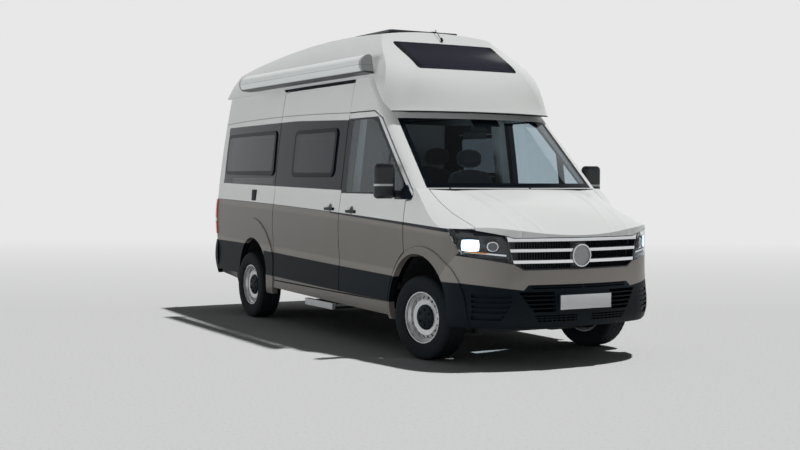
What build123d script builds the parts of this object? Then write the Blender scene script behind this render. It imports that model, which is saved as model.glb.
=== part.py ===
from build123d import *
from collections import namedtuple
from math import cos, radians, sin, sqrt
import os

# High-roof camper van. Millimetres, +Z up, floor at Z = 0, origin under the middle of the van.
# The van faces -Y, so its left side is +X. Stations along the van are given as a distance
# behind the front bumper and turned into Y by at().

# ---------------------------------------------------------------- driving dimensions
LENGTH = 5986
ROOF_TOP = 2971
WHEELBASE = 3640
FRONT_OVERHANG = 1003
HALF_WIDTH = 1018

BODY_WALL = 45
DOOR_WALL = 60
BONNET_WALL = 25
CAP_WALL = 25
GLASS = 6
PANEL_GAP = 12
GLASS_GAP = 0.8

TYRE_R = 356
TYRE_WIDTH = 235
RIM_R = 218
FRONT_TRACK = 1734
REAR_TRACK = 1744
KINGPIN_X = 760
REST_STEER = 10

FLOOR_TOP = 600
FLOOR_DEPTH = 40
FLOOR_INSET = 66
ROLLER_SEAT = 65.7
BEAM_SEAT = 60.4
LAMP_SEAT = 20.4
SEAT_GAP = 0.3
SILL_Z = 330
DOOR_BOTTOM = 456
BELT_Z = 1438
RAIL_Z = 2456
LIP_Z = 2120

FRONT_ARCH = (985, 430, 462)
REAR_ARCH = (4622, 465, 408)
FRONT_FLARE = (912, 402, 566)
REAR_FLARE = (4570, 540, 530)
FLARE_RISE = 12
FLARE_SLOPE = 20
FLARE_ROOT_X = 985
FLARE_EDGE_X = 1030
CLADDING_RISE = 7
WINDOW_RISE = 14

DOOR_FRONT = 1210
DOOR_REAR = 2424
SLIDER_REAR = 4018
REAR_DOOR_HALF = 792
REAR_DOOR_SILL = 560

os.makedirs("parts", exist_ok=True)


def at(station):
    """Y of a station measured back from the front bumper."""
    return station - LENGTH / 2


FRONT_AXLE_Y = at(FRONT_OVERHANG)
REAR_AXLE_Y = FRONT_AXLE_Y + WHEELBASE
TAIL_CORNER = 150
CORNER_BULGE = 0.17

# Plan outlines of the body at several heights. nose: foremost station on the centre line;
# bow: how far the front falls back at the chord's ends; chord: half-width of that front arc;
# shoulder: station where the front corner meets the side; half: greatest half-width;
# tail and tail_half: the rear face's station and the half-width ahead of the rear corner.
PlanRow = namedtuple("PlanRow", "z nose bow chord shoulder half tail tail_half")

LOWER_BODY = [
    PlanRow(300, 75, 95, 600, 640, 980, 5930, 880),
    PlanRow(534, 2, 85, 600, 600, 1002, 5940, 903),
    PlanRow(800, 46, 85, 600, 590, 1004, 5945, 906),
    PlanRow(1060, 56, 85, 600, 600, HALF_WIDTH, 5945, 920),
    PlanRow(1250, 62, 85, 600, 640, 1005, 5942, 908),
    PlanRow(BELT_Z, 70, 85, 600, 700, 984, 5935, 888),
]

UPPER_BODY = [
    PlanRow(BELT_Z, 880, 163, 878, 1160, 984, 5935, 888),
    PlanRow(1750, 1189, 176, 842, 1480, 946, 5925, 850),
    PlanRow(2072, 1507, 190, 804, 1830, 903, 5905, 808),
    PlanRow(RAIL_Z, 1887, 205, 759, 2230, 836, 5885, 742),
]

CAP_PLAN = [
    PlanRow(2110, 1446, 147, 750, 1950, 930, 5925, 880),
    PlanRow(2300, 1545, 100, 690, 2020, 930, 5915, 870),
    PlanRow(2505, 1716, 26, 600, 2150, 930, 5885, 850),
    PlanRow(2700, 2022, 20, 590, 2450, 930, 5830, 800),
    PlanRow(2860, 2274, 20, 580, 2720, 930, 5750, 740),
    PlanRow(3010, 2510, 20, 560, 3000, 930, 5600, 690),
]

# Cross-sections of the roof cap: crown on the centre line, shoulder height at SHOULDER_X.
CapRow = namedtuple("CapRow", "station crown shoulder base_half")
SHOULDER_X = 600
CROWN = ROOF_TOP - 26
CAP_BASE_Z = 2080
CAP_SECTIONS = [
    CapRow(1300, CROWN - 30, 2868, 905),
    CapRow(2250, CROWN - 10, 2885, 905),
    CapRow(3100, CROWN, 2920, 903),
    CapRow(4200, CROWN - 20, 2893, 885),
    CapRow(5100, CROWN - 83, 2822, 855),
    CapRow(6100, CROWN - 215, 2680, 800),
]

# Height of the bonnet and wing tops at three half-widths.
BonnetRow = namedtuple("BonnetRow", "station centre ridge edge")
RIDGE_X = 660
EDGE_X = 1040
BONNET_TOP = [
    BonnetRow(-60, 990, 975, 900),
    BonnetRow(150, 1140, 1118, 985),
    BonnetRow(330, 1255, 1215, 1030),
    BonnetRow(560, 1350, 1310, 1075),
    BonnetRow(820, 1425, 1390, 1205),
    BonnetRow(1330, 1575, 1550, 1480),
]


def bulged(start, end, share):
    """Middle point of an arc from start to end that bulges to the right of the chord."""
    dx, dy = end[0] - start[0], end[1] - start[1]
    return ((start[0] + end[0]) / 2 + dy * share, (start[1] + end[1]) / 2 - dx * share)


def plan_outline(row, inset):
    """Closed plan outline of the body at one height, drawn inside an open BuildLine."""
    lean = radians(25)
    nose = (0, at(row.nose) + inset)
    front = (row.chord - inset * sin(lean), at(row.nose + row.bow) + inset * cos(lean))
    side = (row.half - 10 - inset, at(row.shoulder))
    middle = (row.half - inset, at(max(2400, row.shoulder + 800)))
    corner = (row.tail_half - inset, at(row.tail) - TAIL_CORNER)
    rear = (row.tail_half - TAIL_CORNER, at(row.tail) - inset)
    ease = (TAIL_CORNER - inset) * (1 - sqrt(0.5))
    turn = (corner[0] - ease, rear[1] - ease)
    corner_mid = bulged(front, side, CORNER_BULGE)
    ThreePointArc((-front[0], front[1]), nose, front)
    ThreePointArc(front, corner_mid, side)
    ThreePointArc(side, middle, corner)
    ThreePointArc(corner, turn, rear)
    Line(rear, (-rear[0], rear[1]))
    ThreePointArc((-rear[0], rear[1]), (-turn[0], turn[1]), (-corner[0], corner[1]))
    ThreePointArc((-corner[0], corner[1]), (-middle[0], middle[1]), (-side[0], side[1]))
    ThreePointArc((-side[0], side[1]), (-corner_mid[0], corner_mid[1]), (-front[0], front[1]))


def plan_block(rows, inset):
    """Solid through the plan outlines of a table, set in by inset."""
    with BuildPart() as block:
        for row in rows:
            with BuildSketch(Plane.XY.offset(row.z)):
                with BuildLine():
                    plan_outline(row, inset)
                make_face()
        loft()
    return block.part


def above_bonnet(drop):
    """Everything above the bonnet and wing tops, lowered by drop."""
    with BuildPart() as block:
        for row in BONNET_TOP:
            with BuildSketch(Plane.XZ.offset(-at(row.station))):
                with BuildLine():
                    edge = (EDGE_X, row.edge - drop)
                    ridge = (RIDGE_X, row.ridge - drop)
                    flank = bulged(edge, ridge, 0.07)
                    ThreePointArc((-ridge[0], ridge[1]), (0, row.centre - drop), ridge)
                    ThreePointArc(ridge, flank, edge)
                    Polyline(edge, (EDGE_X, 1900), (-EDGE_X, 1900), (-edge[0], edge[1]))
                    ThreePointArc((-edge[0], edge[1]), (-flank[0], flank[1]), (-ridge[0], ridge[1]))
                make_face()
        loft()
    return block.part


def lower_block(inset):
    """Body below the belt, with its nose and bonnet, set in by inset."""
    with BuildPart() as block:
        add(plan_block(LOWER_BODY, inset))
        add(above_bonnet(inset), mode=Mode.SUBTRACT)
    return block.part


def cap_block(inset):
    """Solid of the high roof cap down to its lip, set in by inset."""
    with BuildPart() as block:
        for row in CAP_SECTIONS:
            with BuildSketch(Plane.XZ.offset(-at(row.station))):
                with BuildLine():
                    base = (row.base_half - inset, CAP_BASE_Z)
                    shoulder = (SHOULDER_X - 0.4 * inset, row.shoulder - inset)
                    flank = bulged(base, shoulder, 0.085)
                    ThreePointArc((-shoulder[0], shoulder[1]), (0, row.crown - inset), shoulder)
                    ThreePointArc(shoulder, flank, base)
                    Line(base, (-base[0], base[1]))
                    ThreePointArc((-base[0], base[1]), (-flank[0], flank[1]), (-shoulder[0], shoulder[1]))
                make_face()
        loft()
        add(plan_block(CAP_PLAN, inset), mode=Mode.INTERSECT)
    return block.part


LOWER = {inset: lower_block(inset) for inset in
         (-FLARE_RISE, -CLADDING_RISE, -1, 0, GLASS, 20, LAMP_SEAT, BONNET_WALL, BODY_WALL, DOOR_WALL,
          BEAM_SEAT, ROLLER_SEAT, FLOOR_INSET)}
UPPER = {inset: plan_block(UPPER_BODY, inset) for inset in
         (-WINDOW_RISE, -2, 0, GLASS, BODY_WALL, DOOR_WALL)}


SIDE_REACH = 1300
SIDE_INNER = 760


def side_prism(points, x_from, x_to, radius=0, margin=0):
    """Block with a (station, height) outline, its corners rounded and then grown by a margin."""
    with BuildPart() as prism:
        with BuildSketch(Plane.YZ.offset(x_from)):
            with BuildLine():
                corners = [(at(station), height) for station, height in points]
                if radius:
                    FilletPolyline(corners, radius=radius, close=True)
                else:
                    Polyline(corners, close=True)
            make_face()
            if margin:
                offset(amount=margin)
        extrude(amount=x_to - x_from)
    return prism.part


def wheel_arch(arch, radius, x_from, x_to):
    """Cylinder across the van on a wheel arch's centre."""
    with BuildPart() as drum:
        with BuildSketch(Plane.YZ.offset(x_from)):
            with Locations((at(arch[0]), arch[1])):
                Circle(radius)
        extrude(amount=x_to - x_from)
    return drum.part


def flare_drum(flare, x_from):
    """Wheel-arch flare circle as a drum to the left whose edge slopes in where it leaves the skin."""
    with BuildPart() as drum:
        with BuildSketch(Plane(origin=(0, at(flare[0]), flare[1]), x_dir=(1, 0, 0), z_dir=(0, 0, 1))):
            with BuildLine():
                Polyline([(x_from, 0), (x_from, flare[2] + FLARE_SLOPE), (FLARE_ROOT_X, flare[2] + FLARE_SLOPE),
                          (FLARE_EDGE_X, flare[2] - FLARE_SLOPE), (SIDE_REACH, flare[2] - FLARE_SLOPE),
                          (SIDE_REACH, 0)], close=True)
            make_face()
        revolve(axis=Axis((0, at(flare[0]), flare[1]), (1, 0, 0)))
    return drum.part


def front_prism(points):
    """Block through the nose with an (x, height) outline in front view."""
    with BuildPart() as prism:
        with BuildSketch(Plane.XZ.offset(-at(-60))):
            with BuildLine():
                Polyline(points, close=True)
            make_face()
        extrude(amount=-760)
    return prism.part


def bars_block(rows, thickness):
    """Level bars across the nose, one for each height of their lower edge."""
    with BuildPart() as bars:
        with BuildSketch(Plane.XZ.offset(-at(-60))):
            for low in rows:
                with Locations((0, low + thickness / 2)):
                    Rectangle(2 * SIDE_REACH, thickness)
        extrude(amount=-760)
    return bars.part


def kept_inside(block, shape):
    """Part of a block that lies inside a shape."""
    with BuildPart() as piece:
        add(block)
        add(shape, mode=Mode.INTERSECT)
    return piece.part


NOSE_SHAPE = side_prism([(-60, 280), (720, 280), (720, 1130), (-60, 1130)], -SIDE_REACH, SIDE_REACH)
FLANK_SHAPE = side_prism([(300, 280), (5800, 280), (5800, 1110), (300, 1110)], SIDE_INNER, SIDE_REACH)
NOSE = {inset: kept_inside(LOWER[inset], NOSE_SHAPE) for inset in (0, GLASS, 20, BODY_WALL, DOOR_WALL)}
FLANK = {inset: kept_inside(LOWER[inset], FLANK_SHAPE) for inset in (-FLARE_RISE, -CLADDING_RISE, 20, BODY_WALL)}


def skin_slice(blocks, rise, depth, shapes):
    """Part of the lower skin between two insets that lies inside all the given shapes."""
    with BuildPart() as piece:
        add(blocks[rise])
        for shape in shapes:
            add(shape, mode=Mode.INTERSECT)
        add(blocks[depth], mode=Mode.SUBTRACT)
    return piece.part


def save(part, name):
    """Label a finished piece and write it under its node's name."""
    part.label = name
    export_step(part, f"parts/{name}.step")



# ---------------------------------------------------------------- front door outlines
DOOR_OUTLINE = [
    (DOOR_FRONT, DOOR_BOTTOM), (DOOR_REAR, DOOR_BOTTOM), (DOOR_REAR, 2134), (1960, 2134),
    (1800, 2062), (1095, 1392), (1120, 1352), (DOOR_FRONT, 1340),
]
DOOR_CUT = [
    (DOOR_FRONT - PANEL_GAP, DOOR_BOTTOM - PANEL_GAP), (DOOR_REAR + PANEL_GAP, DOOR_BOTTOM - PANEL_GAP),
    (DOOR_REAR + PANEL_GAP, 2134 + PANEL_GAP), (1956, 2134 + PANEL_GAP), (1790, 2074),
    (1076, 1394), (1108, 1340), (DOOR_FRONT - PANEL_GAP, 1328),
]
DOOR_WINDOW = [
    (1192, 1402), (2335, 1398), (2342, 2068), (1975, 2068), (1862, 2020),
]
CLADDING = [(1100, 664), (2429, 704), (4340, 750), (4340, 497), (2415, 464), (1100, 440)]
DOOR_HANDLE = (2173, 1218)
SLIDER_HANDLE = (2623, 1233)
HANDLE_SIZE = (170, 26, 30)
HANDLE_DISH = (36, 12)
QUARTER_BAR = [(1560, 1380), (1580, 1380), (1580, 2090), (1560, 2090)]
DOOR_PIN = (957, at(1130), 1380)
DOOR_PIN_TILT = 3
DOOR_PIN_R = 7
DOOR_NOSE_R = 40
DOOR_SWEEP_R = 86
PIN_GAP = 0.3
door_pin_plane = Plane(origin=DOOR_PIN, x_dir=(0, 1, 0),
                       z_dir=(-sin(radians(DOOR_PIN_TILT)), 0, cos(radians(DOOR_PIN_TILT))))


STRIP = skin_slice(FLANK, -CLADDING_RISE, 20, [side_prism(CLADDING, SIDE_INNER, SIDE_REACH)])


def cladding(station_from, station_to):
    """Raised black side strip between two stations of the left side."""
    return kept_inside(STRIP, side_prism([(station_from, SILL_Z), (station_to, SILL_Z), (station_to, 900),
                                          (station_from, 900)], SIDE_INNER, SIDE_REACH))


def handle(station, height):
    """Pull handle of the left side, a bar on two feet; it stands over handle_dish()."""
    with BuildPart() as bar:
        with BuildSketch(Plane.YZ.offset(1002)):
            with Locations((at(station), height)):
                RectangleRounded(HANDLE_SIZE[0], HANDLE_SIZE[1], 12)
        extrude(amount=HANDLE_SIZE[2])
        with BuildSketch(Plane.YZ.offset(980)):
            with Locations((at(station), height)):
                Rectangle(HANDLE_SIZE[0] - 60, 60)
        extrude(amount=38, mode=Mode.SUBTRACT)
        with BuildSketch(Plane.YZ.offset(975)):
            for end in (-1, 1):
                with Locations((at(station) + end * (HANDLE_SIZE[0] / 2 - 15), height)):
                    RectangleRounded(28, HANDLE_SIZE[1], 8)
        extrude(amount=40)
    return bar.part


def handle_dish(station, height):
    """Round finger recess above the middle of a handle."""
    with BuildPart() as dish:
        with BuildSketch(Plane.YZ.offset(1002 - HANDLE_DISH[1])):
            with Locations((at(station), height + 14)):
                Circle(HANDLE_DISH[0])
        extrude(amount=60)
    return dish.part


def front_door():
    """Cab door of the left side: pressed shell with its window cut through."""
    with BuildPart() as door:
        add(LOWER[0])
        add(LOWER[DOOR_WALL], mode=Mode.SUBTRACT)
        add(side_prism(DOOR_OUTLINE[:2] + [(DOOR_REAR, BELT_Z), (1143, BELT_Z)] + DOOR_OUTLINE[5:],
                       SIDE_INNER, SIDE_REACH), mode=Mode.INTERSECT)
        add(cladding(1300, DOOR_REAR))
        add(flare_drum((FRONT_FLARE[0], FRONT_FLARE[1], FRONT_FLARE[2] + PANEL_GAP), 0), mode=Mode.SUBTRACT)
        with BuildSketch(door_pin_plane.offset(-500)):
            Circle(DOOR_SWEEP_R)
        extrude(amount=405, mode=Mode.SUBTRACT)
        add(handle_dish(*DOOR_HANDLE), mode=Mode.SUBTRACT)
        add(handle(*DOOR_HANDLE))
    with BuildPart() as frame:
        add(UPPER[0])
        add(UPPER[DOOR_WALL], mode=Mode.SUBTRACT)
        add(side_prism([(1143, BELT_Z), (DOOR_REAR, BELT_Z)] + DOOR_OUTLINE[2:5], SIDE_INNER, SIDE_REACH),
            mode=Mode.INTERSECT)
    with BuildPart() as whole:
        add(door.part)
        add(frame.part)
        with BuildPart(mode=Mode.PRIVATE) as light:
            add(side_prism(DOOR_WINDOW, 0, SIDE_REACH, 24, GLASS_GAP))
            add(side_prism(QUARTER_BAR, 0, SIDE_REACH), mode=Mode.SUBTRACT)
        add(light.part, mode=Mode.SUBTRACT)
        with BuildSketch(door_pin_plane.offset(-90)):
            Circle(DOOR_PIN_R + PIN_GAP)
        extrude(amount=120 + PIN_GAP, mode=Mode.SUBTRACT)
    return whole.part


with BuildPart() as front_door_left:
    add(front_door())
save(front_door_left.part, "front_door_left")

with BuildPart() as front_door_right:
    add(mirror(front_door_left.part, about=Plane.YZ))
save(front_door_right.part, "front_door_right")

with BuildPart() as door_glass_left:
    with BuildPart(mode=Mode.PRIVATE) as low_pane:
        add(LOWER[0])
        add(LOWER[GLASS], mode=Mode.SUBTRACT)
        add(side_prism(DOOR_WINDOW, SIDE_INNER, SIDE_REACH, 24), mode=Mode.INTERSECT)
    add(UPPER[0])
    add(UPPER[GLASS], mode=Mode.SUBTRACT)
    add(side_prism(DOOR_WINDOW, SIDE_INNER, SIDE_REACH, 24), mode=Mode.INTERSECT)
    add(low_pane.part)
    add(side_prism(QUARTER_BAR, 0, SIDE_REACH, 0, GLASS_GAP), mode=Mode.SUBTRACT)
save(door_glass_left.part, "door_glass_left")

with BuildPart() as door_glass_right:
    add(mirror(door_glass_left.part, about=Plane.YZ))
save(door_glass_right.part, "door_glass_right")

# ---------------------------------------------------------------- mirrors on the cab doors
MIRROR_STATION = 1353
MIRROR_SIZE = (195, 92, 300)
MIRROR_X = 1118
MIRROR_Z = 1500

with BuildPart() as mirror_left:
    with BuildSketch(Plane.XY.offset(MIRROR_Z - MIRROR_SIZE[2] / 2)):
        with Locations((MIRROR_X, at(MIRROR_STATION))):
            RectangleRounded(MIRROR_SIZE[0], MIRROR_SIZE[1], 42)
    extrude(amount=MIRROR_SIZE[2])
    fillet(mirror_left.faces().filter_by(Axis.Z).edges(), 38)
    with BuildSketch(Plane.YZ.offset(975)):
        with Locations((at(MIRROR_STATION - 30), MIRROR_Z - 110)):
            RectangleRounded(90, 60, 20)
    extrude(amount=60)
    add(LOWER[-1], mode=Mode.SUBTRACT)
save(mirror_left.part, "mirror_left")

with BuildPart() as mirror_right:
    add(mirror(mirror_left.part, about=Plane.YZ))
save(mirror_right.part, "mirror_right")

# ---------------------------------------------------------------- bonnet
BONNET_FRONT_Z = 1054
BONNET_REAR_BOW = 160
BONNET_REAR = 846
BONNET_HALF_REAR = 868


# Lower edge of the bonnet in front view, from the middle outwards.
BONNET_LOW = [(606, 1054), (663, 1070), (868, 1112)]


def bonnet_prism(grow):
    """Outline of the bonnet in plan, above its lower edge in front view, grown by a margin."""
    with BuildPart() as prism:
        with BuildSketch(Plane.XY.offset(1000)):
            with BuildLine():
                rear = (BONNET_HALF_REAR + grow, at(BONNET_REAR + BONNET_REAR_BOW) + grow)
                front = (BONNET_HALF_REAR + grow, at(-40))
                ThreePointArc((-rear[0], rear[1]), (0, at(BONNET_REAR) + grow), rear)
                Polyline(rear, front, (-front[0], front[1]), (-rear[0], rear[1]))
            make_face()
        extrude(amount=600)
        low = [(x, z - grow) for x, z in BONNET_LOW]
        low.append((BONNET_LOW[-1][0] + 40, BONNET_LOW[-1][1] - grow))
        with BuildSketch(Plane.XZ.offset(-at(-60))):
            with BuildLine():
                Polyline(low + [(low[-1][0], 1700), (-low[-1][0], 1700)] + [(-x, z) for x, z in reversed(low)],
                         close=True)
            make_face()
        extrude(amount=-1300, mode=Mode.INTERSECT)
    return prism.part


HINGE_STATION = 1060
HINGE_Z = 1415
HINGE_SLOT = (766, 790)
HINGE_PIN_R = 8
HINGE_RUNNING = 0.3
HINGE_ARM = 14
# Gooseneck arm from the pivot forwards, dipped so that it swings up clear of the windscreen's foot.
HINGE_NECK = [(-2, 13), (-56, -37), (-75, -31), (-100, -20), (-150, -20), (-150, -48), (-85, -58),
              (-52, -60), (-10, -13)]

with BuildPart() as bonnet:
    add(LOWER[0])
    add(LOWER[BONNET_WALL], mode=Mode.SUBTRACT)
    add(bonnet_prism(0), mode=Mode.INTERSECT)
    for side in (-1, 1):
        with BuildSketch(Plane.YZ.offset(side * (sum(HINGE_SLOT) - HINGE_ARM) / 2)):
            with BuildLine():
                Polyline([(at(HINGE_STATION + ahead), HINGE_Z + rise) for ahead, rise in HINGE_NECK], close=True)
            make_face()
            with Locations((at(HINGE_STATION), HINGE_Z)):
                Circle(16)
                Circle(HINGE_PIN_R + HINGE_RUNNING, mode=Mode.SUBTRACT)
        extrude(amount=side * HINGE_ARM)
save(bonnet.part, "bonnet")

# ---------------------------------------------------------------- windscreen
SCREEN_BASE = (872, 1446)
SCREEN_TOP = (800, 2064)


def screen_prism(grow, depth):
    """Front-view outline of the windscreen pushed back to a station."""
    with BuildPart() as prism:
        with BuildSketch(Plane.XZ.offset(-at(depth))):
            with BuildLine():
                base = (SCREEN_BASE[0] + grow, SCREEN_BASE[1] - grow)
                top = (SCREEN_TOP[0] + grow, SCREEN_TOP[1] + grow)
                Polyline([base, top, (-top[0], top[1]), (-base[0], base[1])], close=True)
            make_face()
        extrude(amount=depth)
    return prism.part


with BuildPart() as windscreen:
    add(UPPER[0])
    add(UPPER[GLASS], mode=Mode.SUBTRACT)
    add(screen_prism(0, 1780), mode=Mode.INTERSECT)
save(windscreen.part, "windscreen")

# ---------------------------------------------------------------- cab frame
# A-pillars, header, scuttle and B-pillars around the cab doors and windscreen.
CAP_EDGE = [(1330, LIP_Z), (1690, LIP_Z), (2080, RAIL_Z), (6100, RAIL_Z)]
B_PILLAR = (DOOR_REAR - 60, DOOR_REAR + 75)
BULKHEAD = 1190

with BuildPart() as cab_frame:
    add(UPPER[0])
    add(UPPER[BODY_WALL], mode=Mode.SUBTRACT)
    add(side_prism([(500, BELT_Z), (DOOR_REAR + 6, BELT_Z), (DOOR_REAR + 6, RAIL_Z), (2080, RAIL_Z),
                    (1690, LIP_Z), (1330, LIP_Z)], -SIDE_REACH, SIDE_REACH), mode=Mode.INTERSECT)
    add(screen_prism(GLASS_GAP, 1780), mode=Mode.SUBTRACT)
    add(side_prism(DOOR_CUT, -SIDE_REACH, SIDE_REACH), mode=Mode.SUBTRACT)
    with BuildSketch(Plane.XZ.offset(-at(B_PILLAR[0]))):
        with BuildLine():
            Polyline([(928, FLOOR_TOP), (926, 1100), (900, BELT_Z), (814, 2072), (760, RAIL_Z), (690, RAIL_Z),
                      (745, 2072), (820, BELT_Z), (850, 1100), (850, FLOOR_TOP)], close=True)
        make_face()
        mirror(about=Plane.YZ)
    extrude(amount=-(B_PILLAR[1] - B_PILLAR[0]))
save(cab_frame.part, "cab_frame")

# ---------------------------------------------------------------- front wings, scuttle and nose panel
PIECE_GAP = 0.8
GRILLE_LOW = (530, 795)
LAMP_LOW_INNER = (606, 842)
LAMP_TOP_INNER = (679, 1119)
LAMP_LOW_OUTER = (1300, 968)
LAMP_REAR = [(310, 800), (380, 902), (528, 1118), (528, 1119)]
SEAM = [(409, 938), (640, 707)]
LENS = 4
LINER = 4
LINER_X = 762


FRONT_RIM = skin_slice(FLANK, -FLARE_RISE, BODY_WALL, [flare_drum(FRONT_FLARE, SIDE_INNER)])
REAR_RIM = skin_slice(FLANK, -FLARE_RISE, BODY_WALL, [flare_drum(REAR_FLARE, SIDE_INNER)])


def front_wing():
    """Left wing with its arch rim and liner, from the bumper and lamp back to the door."""
    with BuildPart() as wing:
        add(LOWER[0])
        add(LOWER[BODY_WALL], mode=Mode.SUBTRACT)
        add(side_prism([(640 + PIECE_GAP, 560), (DOOR_FRONT - PANEL_GAP, 560),
                        (DOOR_FRONT - PANEL_GAP, 1328), (1108, 1340), (1076, 1394), (1100, BELT_Z),
                        (300, BELT_Z), (300, 1122), (528 + PANEL_GAP / 2, 1122), (SEAM[0][0] + PIECE_GAP, SEAM[0][1]),
                        (640 + PIECE_GAP, SEAM[1][1])], 560, SIDE_REACH),
            mode=Mode.INTERSECT)
        with BuildPart(mode=Mode.PRIVATE) as rim:
            add(FRONT_RIM)
            add(side_prism([(SEAM[0][0] + PIECE_GAP, SEAM[0][1]), (640 + PIECE_GAP, SEAM[1][1]), (640 + PIECE_GAP, 300),
                            (1600, 300), (1600, 1300), (SEAM[0][0] + PIECE_GAP, 1300)], SIDE_INNER, SIDE_REACH),
                mode=Mode.INTERSECT)
        add(rim.part)
        add(side_prism([(BONNET_REAR, 1300), (1300, 1300), (1300, 1600), (BONNET_REAR, 1600)], 500,
                       BONNET_HALF_REAR + PANEL_GAP / 2), mode=Mode.SUBTRACT)
        with BuildPart(mode=Mode.PRIVATE) as liner:
            add(wheel_arch(FRONT_ARCH, FRONT_ARCH[2] + LINER, LINER_X, 990))
            add(FLANK[20], mode=Mode.INTERSECT)
            add(side_prism([(640 + PIECE_GAP, SEAM[1][1]), (1160, SEAM[1][1]), (1160, 1000),
                            (SEAM[0][0] + PIECE_GAP, 1000), (SEAM[0][0] + PIECE_GAP, SEAM[0][1])], LINER_X, 990),
                mode=Mode.INTERSECT)
        add(liner.part)
        add(wheel_arch(FRONT_ARCH, FRONT_ARCH[2], 500, SIDE_REACH), mode=Mode.SUBTRACT)
        add(bonnet_prism(PANEL_GAP / 2), mode=Mode.SUBTRACT)
        add(UPPER[0], mode=Mode.SUBTRACT)
        with BuildSketch(door_pin_plane.offset(-32)):
            Circle(DOOR_NOSE_R)
        extrude(amount=70, mode=Mode.SUBTRACT)
        with BuildSketch(door_pin_plane.offset(-90)):
            Circle(DOOR_PIN_R)
        extrude(amount=120)
    return wing.part


with BuildPart() as front_wings:
    add(front_wing())
    mirror(about=Plane.YZ)
save(front_wings.part, "front_wings")


def lamp_outline(grow):
    """Block of the left lamp: its front-view outline ahead of its side-view rear edge."""
    with BuildPart() as block:
        add(front_prism([(LAMP_LOW_INNER[0] - grow, LAMP_LOW_INNER[1] - grow),
                         (LAMP_LOW_OUTER[0], LAMP_LOW_OUTER[1] - grow), (LAMP_LOW_OUTER[0], LAMP_TOP_INNER[1] + grow),
                         (LAMP_TOP_INNER[0] - grow, LAMP_TOP_INNER[1] + grow)]))
        add(side_prism([(-60, 700)] + [(station + grow, height) for station, height in LAMP_REAR] + [(528 + grow, 1200),
                       (-60, 1200)], 560, SIDE_REACH), mode=Mode.INTERSECT)
    return block.part


LAMP_BLOCK = lamp_outline(0)
LED_CENTRE = (891, 991)
LED_SIZE = 98
PROJECTOR = (757, 983, 44)

with BuildPart() as lamp_units:
    with BuildSketch(Plane.XZ.offset(-at(-60))):
        with Locations(LED_CENTRE):
            Rectangle(LED_SIZE, LED_SIZE)
        with Locations((PROJECTOR[0], PROJECTOR[1])):
            Circle(PROJECTOR[2])
    extrude(amount=-600)

with BuildPart() as headlamps:
    with BuildPart(mode=Mode.PRIVATE) as shell:
        add(skin_slice(NOSE, 0, DOOR_WALL, [LAMP_BLOCK]))
        with BuildPart(mode=Mode.PRIVATE) as bowl:
            add(skin_slice(NOSE, GLASS, BODY_WALL, [lamp_outline(-GLASS)]))
            add(kept_inside(NOSE[20], lamp_units.part), mode=Mode.SUBTRACT)
        add(bowl.part, mode=Mode.SUBTRACT)
        add(bonnet_prism(PANEL_GAP / 2), mode=Mode.SUBTRACT)
    add(shell.part)
    mirror(about=Plane.YZ)
save(headlamps.part, "headlamps")

# ---------------------------------------------------------------- grille
# A dark panel behind a frame, three bright bars that run on to the lamps and a plain round boss
# in the middle.
BARS = [(1022, 1056), (939, 964), (848, 874)]
BOSS = (906, 93)


def grille_outline(shrink):
    """Front-view block of the grille, under the bonnet's edge and between the lamps."""
    with BuildPart() as block:
        add(front_prism([(GRILLE_LOW[0] - shrink, GRILLE_LOW[1] + shrink),
                         (LAMP_LOW_INNER[0] - PIECE_GAP - shrink, LAMP_LOW_INNER[1]),
                         (LAMP_TOP_INNER[0] - PIECE_GAP - shrink, LAMP_TOP_INNER[1]),
                         (PIECE_GAP + shrink - LAMP_TOP_INNER[0], LAMP_TOP_INNER[1]),
                         (PIECE_GAP + shrink - LAMP_LOW_INNER[0], LAMP_LOW_INNER[1]),
                         (shrink - GRILLE_LOW[0], GRILLE_LOW[1] + shrink)]))
        add(bonnet_prism(PANEL_GAP / 2 + shrink), mode=Mode.SUBTRACT)
    return block.part


GRILLE_BLOCK = grille_outline(0)
with BuildPart() as grille:
    add(skin_slice(NOSE, 0, DOOR_WALL, [GRILLE_BLOCK]))
    with BuildPart(mode=Mode.PRIVATE) as mouth:
        add(grille_outline(9))
        add(NOSE[BODY_WALL], mode=Mode.SUBTRACT)
        for low, high in BARS:
            add(bars_block([low], high - low), mode=Mode.SUBTRACT)
    add(mouth.part, mode=Mode.SUBTRACT)
    with BuildSketch(Plane.XZ.offset(-at(44))):
        with Locations((0, BOSS[0])):
            Circle(BOSS[1])
    extrude(amount=-64)
    with BuildSketch(Plane.XZ.offset(-at(44))):
        with Locations((0, BOSS[0])):
            Circle(BOSS[1] - 10)
    extrude(amount=-8, mode=Mode.SUBTRACT)
save(grille.part, "grille")

# ---------------------------------------------------------------- front bumper
# Painted upper part and dark lower part with slatted openings round a plate panel.
BUMPER_TOP_LINE = [(LAMP_LOW_OUTER[0], LAMP_LOW_OUTER[1] - PIECE_GAP), (LAMP_LOW_INNER[0], LAMP_LOW_INNER[1] - PIECE_GAP),
                   (GRILLE_LOW[0], GRILLE_LOW[1] - PIECE_GAP)]
UPPER_SLOT = [(12, 646), (470, 646), (470, 674), (12, 674)]
BUMPER_SLATS = (396, 416, 486, 520, 554, 588, 656)
MOUTH = [(275, 462), (470, 462), (585, 622), (275, 622)]
LOW_MOUTH = [(70, 382), (430, 382), (458, 436), (70, 436)]
CORNER_PANEL = [(650, 604), (900, 604), (900, 400), (716, 400), (640, 560)]
CORNER_RIBS = (440, 480, 520, 560)

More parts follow.
